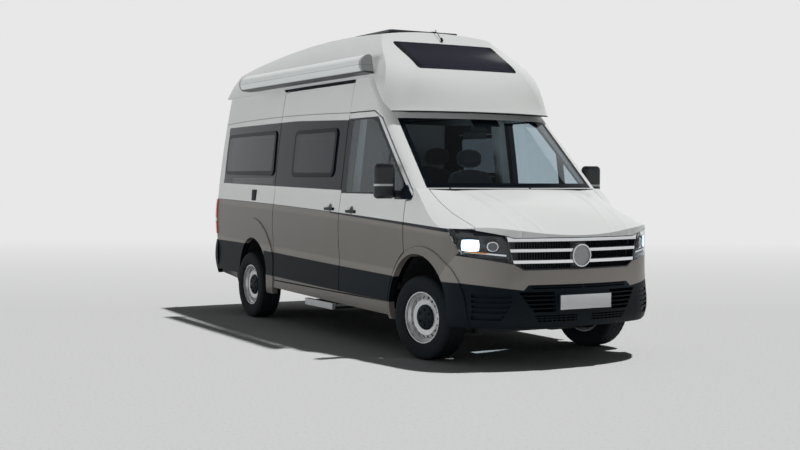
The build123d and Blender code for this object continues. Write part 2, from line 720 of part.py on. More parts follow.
with BuildPart() as front_bumper:
    add(NOSE[0])
    add(NOSE[BODY_WALL], mode=Mode.SUBTRACT)
    add(FRONT_RIM)
    add(mirror(FRONT_RIM, about=Plane.YZ))
    add(side_prism([(-60, SILL_Z), (640, SILL_Z), (640, SEAM[1][1]), SEAM[0], (300, 968), (-60, 968)],
                   -SIDE_REACH, SIDE_REACH), mode=Mode.INTERSECT)
    add(wheel_arch(FRONT_ARCH, FRONT_ARCH[2], -SIDE_REACH, SIDE_REACH), mode=Mode.SUBTRACT)
    add(front_prism([(-SIDE_REACH, 200), (SIDE_REACH, 200)] + BUMPER_TOP_LINE
                    + [(-x, z) for x, z in reversed(BUMPER_TOP_LINE)]), mode=Mode.INTERSECT)
    with BuildPart(mode=Mode.PRIVATE) as recess:
        add(front_prism(CORNER_PANEL))
        add(front_prism([(-x, z) for x, z in CORNER_PANEL]))
        add(bars_block(CORNER_RIBS, 16), mode=Mode.SUBTRACT)
        add(NOSE[20], mode=Mode.SUBTRACT)
    add(recess.part, mode=Mode.SUBTRACT)
    with BuildPart(mode=Mode.PRIVATE) as openings:
        for outline in (UPPER_SLOT, MOUTH, LOW_MOUTH):
            add(front_prism(outline))
            add(front_prism([(-x, z) for x, z in outline]))
        add(bars_block(BUMPER_SLATS, 9), mode=Mode.SUBTRACT)
    add(openings.part, mode=Mode.SUBTRACT)
save(front_bumper.part, "front_bumper")

# ---------------------------------------------------------------- scuttle and bulkhead
WHEEL_HOUSE_X = 600
BULKHEAD_TOP = 1345

with BuildPart() as scuttle:
    add(LOWER[0])
    add(LOWER[DOOR_WALL], mode=Mode.SUBTRACT)
    with BuildSketch(Plane.XY.offset(1330)):
        with Locations((0, at(1000))):
            Rectangle(2 * BONNET_HALF_REAR, 400)
    extrude(amount=300, mode=Mode.INTERSECT)
    add(bonnet_prism(PANEL_GAP), mode=Mode.SUBTRACT)
    add(UPPER[-2], mode=Mode.SUBTRACT)
    with BuildSketch(Plane.XY.offset(FLOOR_TOP + SEAT_GAP)):
        with Locations((0, at(BULKHEAD))):
            Rectangle(2 * (BONNET_HALF_REAR - 10), 20)
    extrude(amount=BULKHEAD_TOP - FLOOR_TOP)
    for low, high in ((WHEEL_HOUSE_X - 4, SIDE_REACH), (-SIDE_REACH, 4 - WHEEL_HOUSE_X)):
        add(wheel_arch(FRONT_ARCH, FRONT_ARCH[2] + SEAT_GAP, low, high), mode=Mode.SUBTRACT)
    for side in (-1, 1):
        with BuildSketch(Plane.YZ.offset(side * HINGE_SLOT[0])):
            with Locations((at(HINGE_STATION - 54), HINGE_Z)):
                Rectangle(150, 200)
        extrude(amount=side * (HINGE_SLOT[1] - HINGE_SLOT[0]), mode=Mode.SUBTRACT)
        with BuildSketch(Plane.YZ.offset(side * HINGE_SLOT[0])):
            with Locations((at(HINGE_STATION), HINGE_Z)):
                Circle(HINGE_PIN_R)
        extrude(amount=side * (HINGE_SLOT[1] - HINGE_SLOT[0]))
save(scuttle.part, "scuttle")

# ---------------------------------------------------------------- load sides
SIDE_FRONT = DOOR_REAR + PANEL_GAP
REAR_FRAME_FRONT = 5790
SIDE_REGION_LOW = [(SIDE_FRONT, DOOR_BOTTOM), (REAR_FRAME_FRONT, DOOR_BOTTOM), (REAR_FRAME_FRONT, BELT_Z),
                   (SIDE_FRONT, BELT_Z)]
SIDE_REGION_HIGH = [(SIDE_FRONT, BELT_Z), (REAR_FRAME_FRONT, BELT_Z), (REAR_FRAME_FRONT, RAIL_Z),
                    (SIDE_FRONT, RAIL_Z)]
REAR_WINDOW = [(4075, 1552), (5600, 1572), (5600, 2022), (4100, 2030)]
DINETTE_WINDOW = [(2620, 1549), (3380, 1549), (3380, 1989), (2620, 1989)]
SLIDER_WINDOW = [(2612, 1538), (3588, 1538), (3588, 2008), (2612, 2008)]
WINDOW_RADIUS = 70
SLIDER_TOP = 2424


def wall_band(low, high, wall, x_from):
    """Left body wall between two side-view outlines, below and above the belt."""
    with BuildPart() as bottom:
        add(LOWER[0])
        add(LOWER[wall], mode=Mode.SUBTRACT)
        add(side_prism(low, x_from, SIDE_REACH), mode=Mode.INTERSECT)
    with BuildPart() as top:
        add(UPPER[0])
        add(UPPER[wall], mode=Mode.SUBTRACT)
        add(side_prism(high, x_from, SIDE_REACH), mode=Mode.INTERSECT)
    with BuildPart() as band:
        add(bottom.part)
        add(top.part)
    return band.part


with BuildPart() as flank:
    add(wall_band(SIDE_REGION_LOW, SIDE_REGION_HIGH, BODY_WALL, 600))
    add(REAR_RIM)
    add(cladding(SIDE_FRONT, 4300))
    add(wheel_arch(REAR_ARCH, REAR_ARCH[2], 500, SIDE_REACH), mode=Mode.SUBTRACT)
    add(side_prism(REAR_WINDOW, 500, SIDE_REACH, WINDOW_RADIUS, GLASS_GAP), mode=Mode.SUBTRACT)

with BuildPart() as side_panel_left:
    add(flank.part)
    add(side_prism(DINETTE_WINDOW, 500, SIDE_REACH, WINDOW_RADIUS, GLASS_GAP), mode=Mode.SUBTRACT)
save(side_panel_left.part, "side_panel_left")

SLIDER_CUT = [(2300, 300), (SLIDER_REAR + PANEL_GAP, 300), (SLIDER_REAR + PANEL_GAP, SLIDER_TOP + PANEL_GAP),
              (2300, SLIDER_TOP + PANEL_GAP)]
with BuildPart() as rail_cover:
    add(UPPER[-WINDOW_RISE])
    add(side_prism([(SIDE_FRONT, SLIDER_TOP + PANEL_GAP), (SLIDER_REAR + 20, SLIDER_TOP + PANEL_GAP),
                    (SLIDER_REAR + 20, RAIL_Z - 1), (SIDE_FRONT, RAIL_Z - 1)], 500, SIDE_REACH),
        mode=Mode.INTERSECT)
    add(UPPER[BODY_WALL], mode=Mode.SUBTRACT)

with BuildPart() as right_wall:
    add(flank.part)
    add(side_prism(SLIDER_CUT, 500, SIDE_REACH), mode=Mode.SUBTRACT)
    add(rail_cover.part)
with BuildPart() as side_panel_right:
    add(mirror(right_wall.part, about=Plane.YZ))
save(side_panel_right.part, "side_panel_right")

with BuildPart() as slider_shape:
    add(wall_band([(SIDE_FRONT, DOOR_BOTTOM), (SLIDER_REAR, DOOR_BOTTOM), (SLIDER_REAR, BELT_Z),
                   (SIDE_FRONT, BELT_Z)],
                  [(SIDE_FRONT, BELT_Z), (SLIDER_REAR, BELT_Z), (SLIDER_REAR, SLIDER_TOP),
                   (SIDE_FRONT, SLIDER_TOP)], DOOR_WALL, 600))
    add(side_prism(SLIDER_WINDOW, 500, SIDE_REACH, WINDOW_RADIUS, GLASS_GAP), mode=Mode.SUBTRACT)
    add(cladding(SIDE_FRONT, SLIDER_REAR))
    add(handle_dish(*SLIDER_HANDLE), mode=Mode.SUBTRACT)
    add(handle(*SLIDER_HANDLE))
SLIDER_ROLLERS = (2560, 3820)
with BuildPart() as rollers:
    with BuildSketch(Plane.XY.offset(DOOR_BOTTOM + 24)):
        for station in SLIDER_ROLLERS:
            with Locations((900, at(station))):
                Rectangle(260, 90)
    extrude(amount=50)
    add(LOWER[ROLLER_SEAT], mode=Mode.SUBTRACT)
    add(LOWER[BODY_WALL], mode=Mode.INTERSECT)

with BuildPart() as sliding_door:
    add(mirror(slider_shape.part, about=Plane.YZ))
    add(mirror(rollers.part, about=Plane.YZ))
save(sliding_door.part, "sliding_door")


def pod_window(outline):
    """Bulged acrylic window that fills an opening of the left wall and stands proud of it."""
    with BuildPart() as pod:
        add(UPPER[-WINDOW_RISE])
        add(UPPER[GLASS], mode=Mode.SUBTRACT)
        add(side_prism(outline, 500, SIDE_REACH, WINDOW_RADIUS), mode=Mode.INTERSECT)
    return pod.part


with BuildPart() as side_windows:
    add(pod_window(REAR_WINDOW))
    add(pod_window(DINETTE_WINDOW))
    add(mirror(pod_window(REAR_WINDOW), about=Plane.YZ))
    add(mirror(pod_window(SLIDER_WINDOW), about=Plane.YZ))
save(side_windows.part, "side_windows")

# ---------------------------------------------------------------- roof cap
with BuildPart() as roof_cap:
    add(cap_block(0))
    add(cap_block(CAP_WALL), mode=Mode.SUBTRACT)
    with BuildPart(mode=Mode.PRIVATE) as shelf:
        add(cap_block(0))
        add(side_prism([(1300, LIP_Z), (2000, LIP_Z), (2000, LIP_Z + CAP_WALL), (1300, LIP_Z + CAP_WALL)],
                       -SIDE_REACH, SIDE_REACH), mode=Mode.INTERSECT)
    add(shelf.part)
    add(side_prism([(1300, LIP_Z), (1690 - 4, LIP_Z), (2080 - 4, RAIL_Z + SEAT_GAP), (6100, RAIL_Z + SEAT_GAP),
                    (6100, 3200),
                    (1300, 3200)], -SIDE_REACH, SIDE_REACH), mode=Mode.INTERSECT)
save(roof_cap.part, "roof_cap")

# ---------------------------------------------------------------- rear frame, doors and lamps
REAR_DOOR_TOP = 2380
LAMP_LOW = 873
LAMP_HIGH = 1276
LAMP_FROM = 806


REAR_DOOR_HALF_TOP = 660


def rear_prism(half_from, half_to, bottom, top):
    """Block behind the rear frame's front, given in front view."""
    with BuildPart() as prism:
        with BuildSketch(Plane.XZ.offset(-at(REAR_FRAME_FRONT))):
            with Locations(((half_from + half_to) / 2, (bottom + top) / 2)):
                Rectangle(half_to - half_from, top - bottom)
        extrude(amount=-400)
    return prism.part


def rear_opening(inner, margin):
    """Trapezium of the left rear door in front view, grown by a margin, from x = inner outwards."""
    with BuildPart() as prism:
        with BuildSketch(Plane.XZ.offset(-at(REAR_FRAME_FRONT))):
            with BuildLine():
                Polyline([(inner, REAR_DOOR_SILL - margin), (REAR_DOOR_HALF + margin, REAR_DOOR_SILL - margin),
                          (REAR_DOOR_HALF_TOP + margin, REAR_DOOR_TOP + margin), (inner, REAR_DOOR_TOP + margin)],
                         close=True)
            make_face()
        extrude(amount=-400)
    return prism.part


REAR_HINGES = (862, 1380, 2050)
REAR_AXIS_LOW = Vector(REAR_DOOR_HALF + PANEL_GAP / 2, at(LENGTH) - 24, REAR_DOOR_SILL)
REAR_AXIS_HIGH = Vector(REAR_DOOR_HALF_TOP + PANEL_GAP / 2, at(LENGTH) - 61, REAR_DOOR_TOP)
BARREL_R = 9
BARREL_LENGTH = 38
REAR_PIN_R = 4


def rear_hinge(height, side, start):
    """Barrel and leaf of a left rear hinge: side 1 reaches to the frame, -1 to the door."""
    share = (height - REAR_DOOR_SILL) / (REAR_DOOR_TOP - REAR_DOOR_SILL)
    span = REAR_AXIS_HIGH - REAR_AXIS_LOW
    plane = Plane(origin=REAR_AXIS_LOW + span * share, x_dir=(1, 0, 0), z_dir=span)
    with BuildPart() as leaf:
        with BuildSketch(plane.offset(start)):
            Circle(BARREL_R)
            with Locations((side * 26, -20)):
                Rectangle(44, 46)
            if side < 0:
                Circle(REAR_PIN_R + PIN_GAP, mode=Mode.SUBTRACT)
        extrude(amount=BARREL_LENGTH)
        if side > 0:
            with BuildSketch(plane.offset(start + BARREL_LENGTH)):
                Circle(REAR_PIN_R)
            extrude(amount=BARREL_LENGTH - 8)
    return leaf.part


with BuildPart() as rear_frame:
    add(LOWER[0])
    add(LOWER[BODY_WALL], mode=Mode.SUBTRACT)
    add(rear_prism(-SIDE_REACH, SIDE_REACH, DOOR_BOTTOM, BELT_Z), mode=Mode.INTERSECT)
    with BuildPart(mode=Mode.PRIVATE) as rear_top:
        add(UPPER[0])
        add(UPPER[BODY_WALL], mode=Mode.SUBTRACT)
        add(rear_prism(-SIDE_REACH, SIDE_REACH, BELT_Z, RAIL_Z), mode=Mode.INTERSECT)
    add(rear_top.part)
    add(rear_opening(-1, PANEL_GAP), mode=Mode.SUBTRACT)
    add(mirror(rear_opening(-1, PANEL_GAP), about=Plane.YZ), mode=Mode.SUBTRACT)
    for low, high in ((LAMP_FROM - PIECE_GAP, SIDE_REACH), (-SIDE_REACH, PIECE_GAP - LAMP_FROM)):
        with BuildPart(mode=Mode.PRIVATE) as lamp_recess:
            add(rear_prism(low, high, LAMP_LOW - PIECE_GAP, LAMP_HIGH + PIECE_GAP))
            add(LOWER[LAMP_SEAT], mode=Mode.SUBTRACT)
        add(lamp_recess.part, mode=Mode.SUBTRACT)
    for height in REAR_HINGES:
        add(rear_hinge(height, 1, -BARREL_LENGTH - PIN_GAP))
        add(mirror(rear_hinge(height, 1, -BARREL_LENGTH - PIN_GAP), about=Plane.YZ))
save(rear_frame.part, "rear_frame")

with BuildPart() as tail_lamps:
    add(LOWER[-FLARE_RISE])
    add(LOWER[20], mode=Mode.SUBTRACT)
    add(rear_prism(LAMP_FROM, SIDE_REACH, LAMP_LOW, LAMP_HIGH), mode=Mode.INTERSECT)
    mirror(about=Plane.YZ)
save(tail_lamps.part, "tail_lamps")

REAR_GLASS = (130, 670, 1500, 2010)
with BuildPart() as rear_door_left:
    add(LOWER[0])
    add(LOWER[DOOR_WALL], mode=Mode.SUBTRACT)
    add(rear_opening(PANEL_GAP / 2, 0), mode=Mode.INTERSECT)
    with BuildPart(mode=Mode.PRIVATE) as door_top:
        add(UPPER[0])
        add(UPPER[DOOR_WALL], mode=Mode.SUBTRACT)
        add(rear_opening(PANEL_GAP / 2, 0), mode=Mode.INTERSECT)
    add(door_top.part)
    add(rear_prism(REAR_GLASS[0] - GLASS_GAP, REAR_GLASS[1] + GLASS_GAP, REAR_GLASS[2] - GLASS_GAP,
                   REAR_GLASS[3] + GLASS_GAP), mode=Mode.SUBTRACT)
    for height in REAR_HINGES:
        add(rear_hinge(height, -1, 0))
save(rear_door_left.part, "rear_door_left")

with BuildPart() as rear_door_right:
    add(mirror(rear_door_left.part, about=Plane.YZ))
save(rear_door_right.part, "rear_door_right")

with BuildPart() as rear_glass_left:
    add(UPPER[0])
    add(UPPER[GLASS], mode=Mode.SUBTRACT)
    add(rear_prism(*REAR_GLASS), mode=Mode.INTERSECT)
save(rear_glass_left.part, "rear_glass_left")

with BuildPart() as rear_glass_right:
    add(mirror(rear_glass_left.part, about=Plane.YZ))
save(rear_glass_right.part, "rear_glass_right")

# ---------------------------------------------------------------- rear bumper
BUMPER_PLAN = [
    PlanRow(400, 60, 90, 600, 620, 985, 5975, 880),
    PlanRow(480, 20, 85, 600, 600, 1000, LENGTH - 4, 902),
    PlanRow(800, 46, 85, 600, 590, 1004, 5962, 908),
]
BUMPER_STEP_Z = 540
with BuildPart() as rear_bumper:
    add(plan_block(BUMPER_PLAN, -PIECE_GAP / 10))
    add(plan_block(BUMPER_PLAN, BODY_WALL), mode=Mode.SUBTRACT)
    add(rear_prism(-SIDE_REACH, SIDE_REACH, 400, 800), mode=Mode.INTERSECT)
    add(LOWER[-1], mode=Mode.SUBTRACT)
    add(rear_prism(-REAR_DOOR_HALF - PANEL_GAP, REAR_DOOR_HALF + PANEL_GAP, BUMPER_STEP_Z, 900), mode=Mode.SUBTRACT)
    with BuildPart(mode=Mode.PRIVATE) as bumper_beam:
        with BuildSketch(Plane.XY.offset(405)):
            with Locations((0, at(5860))):
                Rectangle(1560, 150)
        extrude(amount=48)
    add(bumper_beam.part)
save(rear_bumper.part, "rear_bumper")

# ---------------------------------------------------------------- floor, rails and sills
RAIL_X = 470
RAIL_SIZE = (70, 90)
WHEEL_BOX_X = 690
RAIL_FRONT = 40
RAIL_REAR = 5780
RAIL_TOP = FLOOR_TOP - FLOOR_DEPTH
RAIL_BOTTOM = RAIL_TOP - RAIL_SIZE[1]
CROSS_MEMBERS = (1900, 3000, 3900, 5300)
TOWER_TOP = 958
FRONT_HOUSE_X = (712, 905)
TOWER = (440, 730)


def wheel_house(arch, inner, outer, front):
    """Left wheel housing above the floor: a 4 mm shell with an inner cheek, behind a front station."""
    with BuildPart() as house:
        add(wheel_arch(arch, arch[2], inner, outer))
        add(wheel_arch(arch, arch[2] - 4, inner + 4, outer), mode=Mode.SUBTRACT)
        add(side_prism([(front, FLOOR_TOP - FLOOR_DEPTH), (5300, FLOOR_TOP - FLOOR_DEPTH), (5300, 1100),
                        (front, 1100)], inner, outer), mode=Mode.INTERSECT)
    return house.part


with BuildPart() as floor_pan:
    add(LOWER[FLOOR_INSET])
    add(side_prism([(BULKHEAD - 10, FLOOR_TOP - FLOOR_DEPTH), (5880, FLOOR_TOP - FLOOR_DEPTH),
                    (5880, FLOOR_TOP), (BULKHEAD - 10, FLOOR_TOP)], -936, 936), mode=Mode.INTERSECT)
    for arch, inner in ((FRONT_ARCH, WHEEL_HOUSE_X), (REAR_ARCH, WHEEL_BOX_X)):
        for low, high in ((inner, SIDE_REACH), (-SIDE_REACH, -inner)):
            add(wheel_arch(arch, arch[2] - 4, low, high), mode=Mode.SUBTRACT)
    for arch, inner, front in ((REAR_ARCH, WHEEL_BOX_X, 4000), (FRONT_ARCH, WHEEL_HOUSE_X - 4, BULKHEAD - 10)):
        add(wheel_house(arch, inner, FRONT_HOUSE_X[1], front))
        add(mirror(wheel_house(arch, inner, FRONT_HOUSE_X[1], front), about=Plane.YZ))
    with BuildSketch(Plane.XY.offset(FLOOR_TOP - FLOOR_DEPTH - RAIL_SIZE[1])):
        for x in (-RAIL_X, RAIL_X):
            with Locations((x, at((RAIL_FRONT + RAIL_REAR) / 2))):
                Rectangle(RAIL_SIZE[0], RAIL_REAR - RAIL_FRONT)
        for station in CROSS_MEMBERS:
            with Locations((0, at(station))):
                Rectangle(2 * RAIL_X, 60)
    extrude(amount=RAIL_SIZE[1])
    with BuildSketch(Plane.XZ.offset(-FRONT_AXLE_Y + 90)):
        with BuildLine():
            Polyline([(TOWER[0], RAIL_TOP), (TOWER[0], 890), (560, TOWER_TOP + 22), (TOWER[1], TOWER_TOP + 22),
                      (TOWER[1], TOWER_TOP + SEAT_GAP), (575, TOWER_TOP + SEAT_GAP), (TOWER[0] + 20, 875),
                      (TOWER[0] + 20, RAIL_TOP)], close=True)
        make_face()
        mirror(about=Plane.YZ)
    extrude(amount=-180)
    add(LOWER[BEAM_SEAT], mode=Mode.INTERSECT)
save(floor_pan.part, "floor_pan")

SILL_TOP = DOOR_BOTTOM - PANEL_GAP
with BuildPart() as sills:
    add(LOWER[0])
    add(LOWER[BODY_WALL], mode=Mode.SUBTRACT)
    add(side_prism([(1450, SILL_Z), (4212, SILL_Z + 44), (4212, SILL_TOP), (1450, SILL_TOP)], SIDE_INNER,
                   SIDE_REACH), mode=Mode.INTERSECT)
    with BuildPart(mode=Mode.PRIVATE) as sill_box:
        with BuildSketch(Plane.XY.offset(SILL_Z + 60)):
            with Locations((900, at(2760))):
                Rectangle(110, 2460)
        extrude(amount=RAIL_TOP - SILL_Z - 60)
        add(LOWER[FLOOR_INSET], mode=Mode.INTERSECT)
    with BuildPart(mode=Mode.PRIVATE) as sill_web:
        with BuildSketch(Plane.XY.offset(SILL_Z + 60)):
            with Locations((920, at(2760))):
                Rectangle(120, 2460)
        extrude(amount=40)
        add(LOWER[20], mode=Mode.INTERSECT)
    add(sill_box.part)
    add(sill_web.part)
    with BuildPart(mode=Mode.PRIVATE) as rear_sill:
        add(LOWER[0])
        add(LOWER[BODY_WALL], mode=Mode.SUBTRACT)
        add(side_prism([(5034, 384), (5640, 428), (5640, DOOR_BOTTOM), (5034, DOOR_BOTTOM)],
                       SIDE_INNER, SIDE_REACH), mode=Mode.INTERSECT)
    add(rear_sill.part)
    for flare in (FRONT_FLARE, REAR_FLARE):
        add(wheel_arch(flare, flare[2] + FLARE_SLOPE + PIECE_GAP, 500, SIDE_REACH), mode=Mode.SUBTRACT)
    mirror(about=Plane.YZ)
save(sills.part, "sills")

# ---------------------------------------------------------------- wheels
TYRE_PROFILE_SHOULDER = 22
HUB_R = 92
DISC_HOLES = 18


def wheel_plane(x, y, outward, steer):
    """Plane at a wheel's centre whose normal is the wheel's outward axis."""
    direction = Vector(outward * cos(radians(steer)), outward * sin(radians(steer)), 0)
    forward = Vector(-sin(radians(steer)), cos(radians(steer)), 0)
    return Plane(origin=(x, y, TYRE_R), x_dir=forward, z_dir=direction)


def steered_point(x, offset, outward, steer):
    """Point an offset outboard of a kingpin, turned by the steering angle."""
    return (x + outward * offset * cos(radians(steer)), FRONT_AXLE_Y + outward * offset * sin(radians(steer)))


def tyre(plane):
    """Tyre as a ring with rounded shoulders and an open bead seat."""
    axis = Axis(plane.origin, plane.z_dir)
    half = TYRE_WIDTH / 2
    with BuildPart() as ring:
        with BuildSketch(Plane(origin=plane.origin, x_dir=plane.x_dir, z_dir=-plane.y_dir)):
            with BuildLine():
                tread = (TYRE_R - 6, half - 28)
                bulge = (TYRE_R - 62, half)
                edge = (RIM_R + 6, half - 12)
                lip = (RIM_R + 3, half - 24)
                bead = (RIM_R - 4, half - 24)
                seat = (RIM_R - 4, half - 40)
                ThreePointArc((tread[0], -tread[1]), (TYRE_R, 0), tread)
                for sign in (1, -1):
                    ThreePointArc((tread[0], sign * tread[1]), (TYRE_R - 22, sign * (half - 9)),
                                  (bulge[0], sign * bulge[1]))
                    ThreePointArc((bulge[0], sign * bulge[1]), (TYRE_R - 100, sign * (half - 2)),
                                  (edge[0], sign * edge[1]))
                Polyline(edge, lip, bead, seat, (TYRE_R - 26, half - 34), (TYRE_R - 26, 34 - half),
                         (seat[0], -seat[1]), (bead[0], -bead[1]), (lip[0], -lip[1]), (edge[0], -edge[1]))
            make_face()
        revolve(axis=axis)
    return ring.part


def rim(plane, hub_depth):
    """Pressed steel rim: barrel, dished disc with a ring of oval holes, and a hub cap."""
    axis = Axis(plane.origin, plane.z_dir)
    half = TYRE_WIDTH / 2
    with BuildPart() as wheel:
        with BuildSketch(Plane(origin=plane.origin, x_dir=plane.x_dir, z_dir=-plane.y_dir)):
            with BuildLine():
                Polyline([(RIM_R - 4.5, 40 - half), (RIM_R - 4.5, 24 - half), (RIM_R + 2, 23 - half),
                          (RIM_R + 2, 18 - half), (RIM_R - 10, 18 - half), (RIM_R - 12, 40 - half),
                          (RIM_R - 30, 58 - half), (RIM_R - 30, half - 58), (RIM_R - 12, half - 40),
                          (RIM_R - 10, half - 18), (RIM_R + 2, half - 18), (RIM_R + 2, half - 23),
                          (RIM_R - 4.5, half - 24), (RIM_R - 4.5, half - 40), (RIM_R - 22, half - 58),
                          (RIM_R - 22, 58 - half)], close=True)
            make_face()
        revolve(axis=axis)
        with BuildSketch(Plane(origin=plane.origin, x_dir=plane.x_dir, z_dir=-plane.y_dir)):
            with BuildLine():
                Polyline([(0, hub_depth), (HUB_R, hub_depth), (HUB_R + 14, hub_depth + 26), (150, hub_depth + 34),
                          (RIM_R - 32, hub_depth + 8), (RIM_R - 26, hub_depth + 8), (RIM_R - 26, hub_depth),
                          (RIM_R - 34, hub_depth), (150, hub_depth + 24), (HUB_R + 20, hub_depth + 18),
                          (HUB_R + 6, hub_depth - 10), (0, hub_depth - 10)], close=True)
            make_face()
        revolve(axis=axis)
        with BuildSketch(plane.offset(hub_depth - 40)):
            with PolarLocations(166, DISC_HOLES):
                SlotOverall(30, 17)
        extrude(amount=120, mode=Mode.SUBTRACT)
        with BuildSketch(plane.offset(hub_depth - 2)):
            Circle(72)
        extrude(amount=24)
    return wheel.part


KNUCKLE_OFFSET = FRONT_TRACK / 2 - KINGPIN_X
WHEELS = {
    "front_left": (*steered_point(KINGPIN_X, KNUCKLE_OFFSET, 1, REST_STEER), 1, REST_STEER),
    "front_right": (*steered_point(-KINGPIN_X, KNUCKLE_OFFSET, -1, REST_STEER), -1, REST_STEER),
    "rear_left": (REAR_TRACK / 2, REAR_AXLE_Y, 1, 0),
    "rear_right": (-REAR_TRACK / 2, REAR_AXLE_Y, -1, 0),
}
DISC_DEPTH = 30
ARM_TOP = 204
SUBFRAME_TOP = 290
BRACKET_Z = 510
STRUT_X = 655
for name, (x, y, outward, steer) in WHEELS.items():
    seat_plane = wheel_plane(x, y, outward, steer)
    with BuildPart() as one_tyre:
        add(tyre(seat_plane))
    save(one_tyre.part, f"tyre_{name}")
    with BuildPart() as one_rim:
        add(rim(seat_plane, DISC_DEPTH))
    save(one_rim.part, f"rim_{name}")

# ---------------------------------------------------------------- knuckles with brake discs
for name in ("front_left", "front_right"):
    x, y, outward, steer = WHEELS[name]
    hub_plane = wheel_plane(x, y, outward, steer)
    with BuildPart() as knuckle:
        with BuildSketch(hub_plane.offset(DISC_DEPTH - 10.5)):
            Circle(76)
        extrude(amount=-30)
        with BuildSketch(hub_plane.offset(DISC_DEPTH - 40)):
            Circle(150)
        extrude(amount=-26)
        with BuildSketch(hub_plane.offset(DISC_DEPTH - 60)):
            Circle(55)
        extrude(amount=-56)
        with BuildSketch(Plane.XY.offset(ARM_TOP + 0.3)):
            with Locations((outward * KINGPIN_X, FRONT_AXLE_Y)):
                Circle(26)
        extrude(amount=BRACKET_Z - ARM_TOP - 0.6)
    save(knuckle.part, f"knuckle_{name[6:]}")

# ---------------------------------------------------------------- front suspension, engine, rear axle
with BuildPart() as subframe:
    with BuildSketch(Plane.XY.offset(ARM_TOP)):
        with Locations((0, FRONT_AXLE_Y + 60)):
            RectangleRounded(1000, 420, 60)
            Rectangle(560, 200, mode=Mode.SUBTRACT)
    extrude(amount=SUBFRAME_TOP - ARM_TOP)
    with BuildSketch(Plane.XY.offset(SUBFRAME_TOP)):
        with Locations((0, FRONT_AXLE_Y + 60)):
            with GridLocations(2 * RAIL_X, 300, 2, 2):
                Circle(24)
    extrude(amount=RAIL_BOTTOM - SEAT_GAP - SUBFRAME_TOP)
    for side in (-1, 1):
        with BuildSketch(Plane.XY.offset(ARM_TOP - 24)):
            with BuildLine():
                Polyline([(side * (KINGPIN_X + 30), FRONT_AXLE_Y - 34), (side * (KINGPIN_X + 30), FRONT_AXLE_Y + 34),
                          (side * 400, FRONT_AXLE_Y + 250), (side * 360, FRONT_AXLE_Y + 250),
                          (side * 360, FRONT_AXLE_Y - 60), (side * 400, FRONT_AXLE_Y - 60)], close=True)
            make_face()
        extrude(amount=24)
        with BuildSketch(Plane.XY.offset(BRACKET_Z)):
            with Locations((side * (STRUT_X + KINGPIN_X) / 2, FRONT_AXLE_Y)):
                SlotCenterToCenter(KINGPIN_X - STRUT_X, 52)
        extrude(amount=24)
        with BuildSketch(Plane.XY.offset(BRACKET_Z)):
            with Locations((side * STRUT_X, FRONT_AXLE_Y)):
                Circle(44)
        extrude(amount=TOWER_TOP - BRACKET_Z)
save(subframe.part, "front_suspension")

with BuildPart() as engine:
    with BuildSketch(Plane.XY.offset(SUBFRAME_TOP + SEAT_GAP)):
        with Locations((40, at(720))):
            RectangleRounded(740, 560, 60)
    extrude(amount=590)
save(engine.part, "engine_block")

SPRING_HALF = 700
HUB_FACE = REAR_TRACK / 2 + DISC_DEPTH - 10.5
with BuildPart() as rear_axle:
    with BuildSketch(Plane.YZ.offset(-HUB_FACE + 30)):
        with Locations((REAR_AXLE_Y, TYRE_R)):
            Circle(38)
    extrude(amount=2 * HUB_FACE - 60)
    for side in (-1, 1):
        with BuildSketch(Plane.YZ.offset(side * HUB_FACE)):
            with Locations((REAR_AXLE_Y, TYRE_R)):
                Circle(76)
        extrude(amount=-side * 40)
        with BuildSketch(Plane.YZ.offset(side * (HUB_FACE - 36))):
            with Locations((REAR_AXLE_Y, TYRE_R)):
                Circle(150)
        extrude(amount=-side * 20)
        with BuildSketch(Plane.YZ.offset(side * RAIL_X - 35)):
            with BuildLine():
                low = TYRE_R + 30
                high = RAIL_BOTTOM - SEAT_GAP
                Polyline([(REAR_AXLE_Y - SPRING_HALF, high), (REAR_AXLE_Y, low + 20),
                          (REAR_AXLE_Y + SPRING_HALF, high), (REAR_AXLE_Y + SPRING_HALF, high - 20),
                          (REAR_AXLE_Y, low - 4), (REAR_AXLE_Y - SPRING_HALF, high - 20)], close=True)
            make_face()
        extrude(amount=70)
save(rear_axle.part, "rear_axle")

with BuildPart() as tanks:
    for x, station, size in ((-120, 3450, (560, 920, 190)), (0, 5500, (720, 440, 160))):
        with BuildSketch(Plane.XY.offset(RAIL_BOTTOM - SEAT_GAP - size[2])):
            with Locations((x, at(station))):
                RectangleRounded(size[0], size[1], 50)
        extrude(amount=size[2])
save(tanks.part, "underfloor_tanks")

# ---------------------------------------------------------------- entry step
STEP_BOX = (-320, 300)
with BuildPart() as step_housing:
    with BuildSketch(Plane.XZ.offset(320)):
        with Locations((-760, 312)):
            Rectangle(300, 90)
            with Locations((-8, 0)):
                Rectangle(300, 60, mode=Mode.SUBTRACT)
        with Locations((-760, (357 + RAIL_TOP - SEAT_GAP) / 2)):
            Rectangle(60, RAIL_TOP - SEAT_GAP - 357)
    extrude(amount=-620)
with BuildPart() as entry_step:
    with BuildSketch(Plane.XY.offset(282 + SEAT_GAP)):
        with Locations((-795, -10)):
            RectangleRounded(270, 560, 20)
    extrude(amount=28)
    with BuildSketch(Plane.XY.offset(262)):
        with Locations((-936, -10)):
            RectangleRounded(44, 610, 12)
    extrude(amount=62)
save(step_housing.part, "step_housing")
save(entry_step.part, "entry_step")

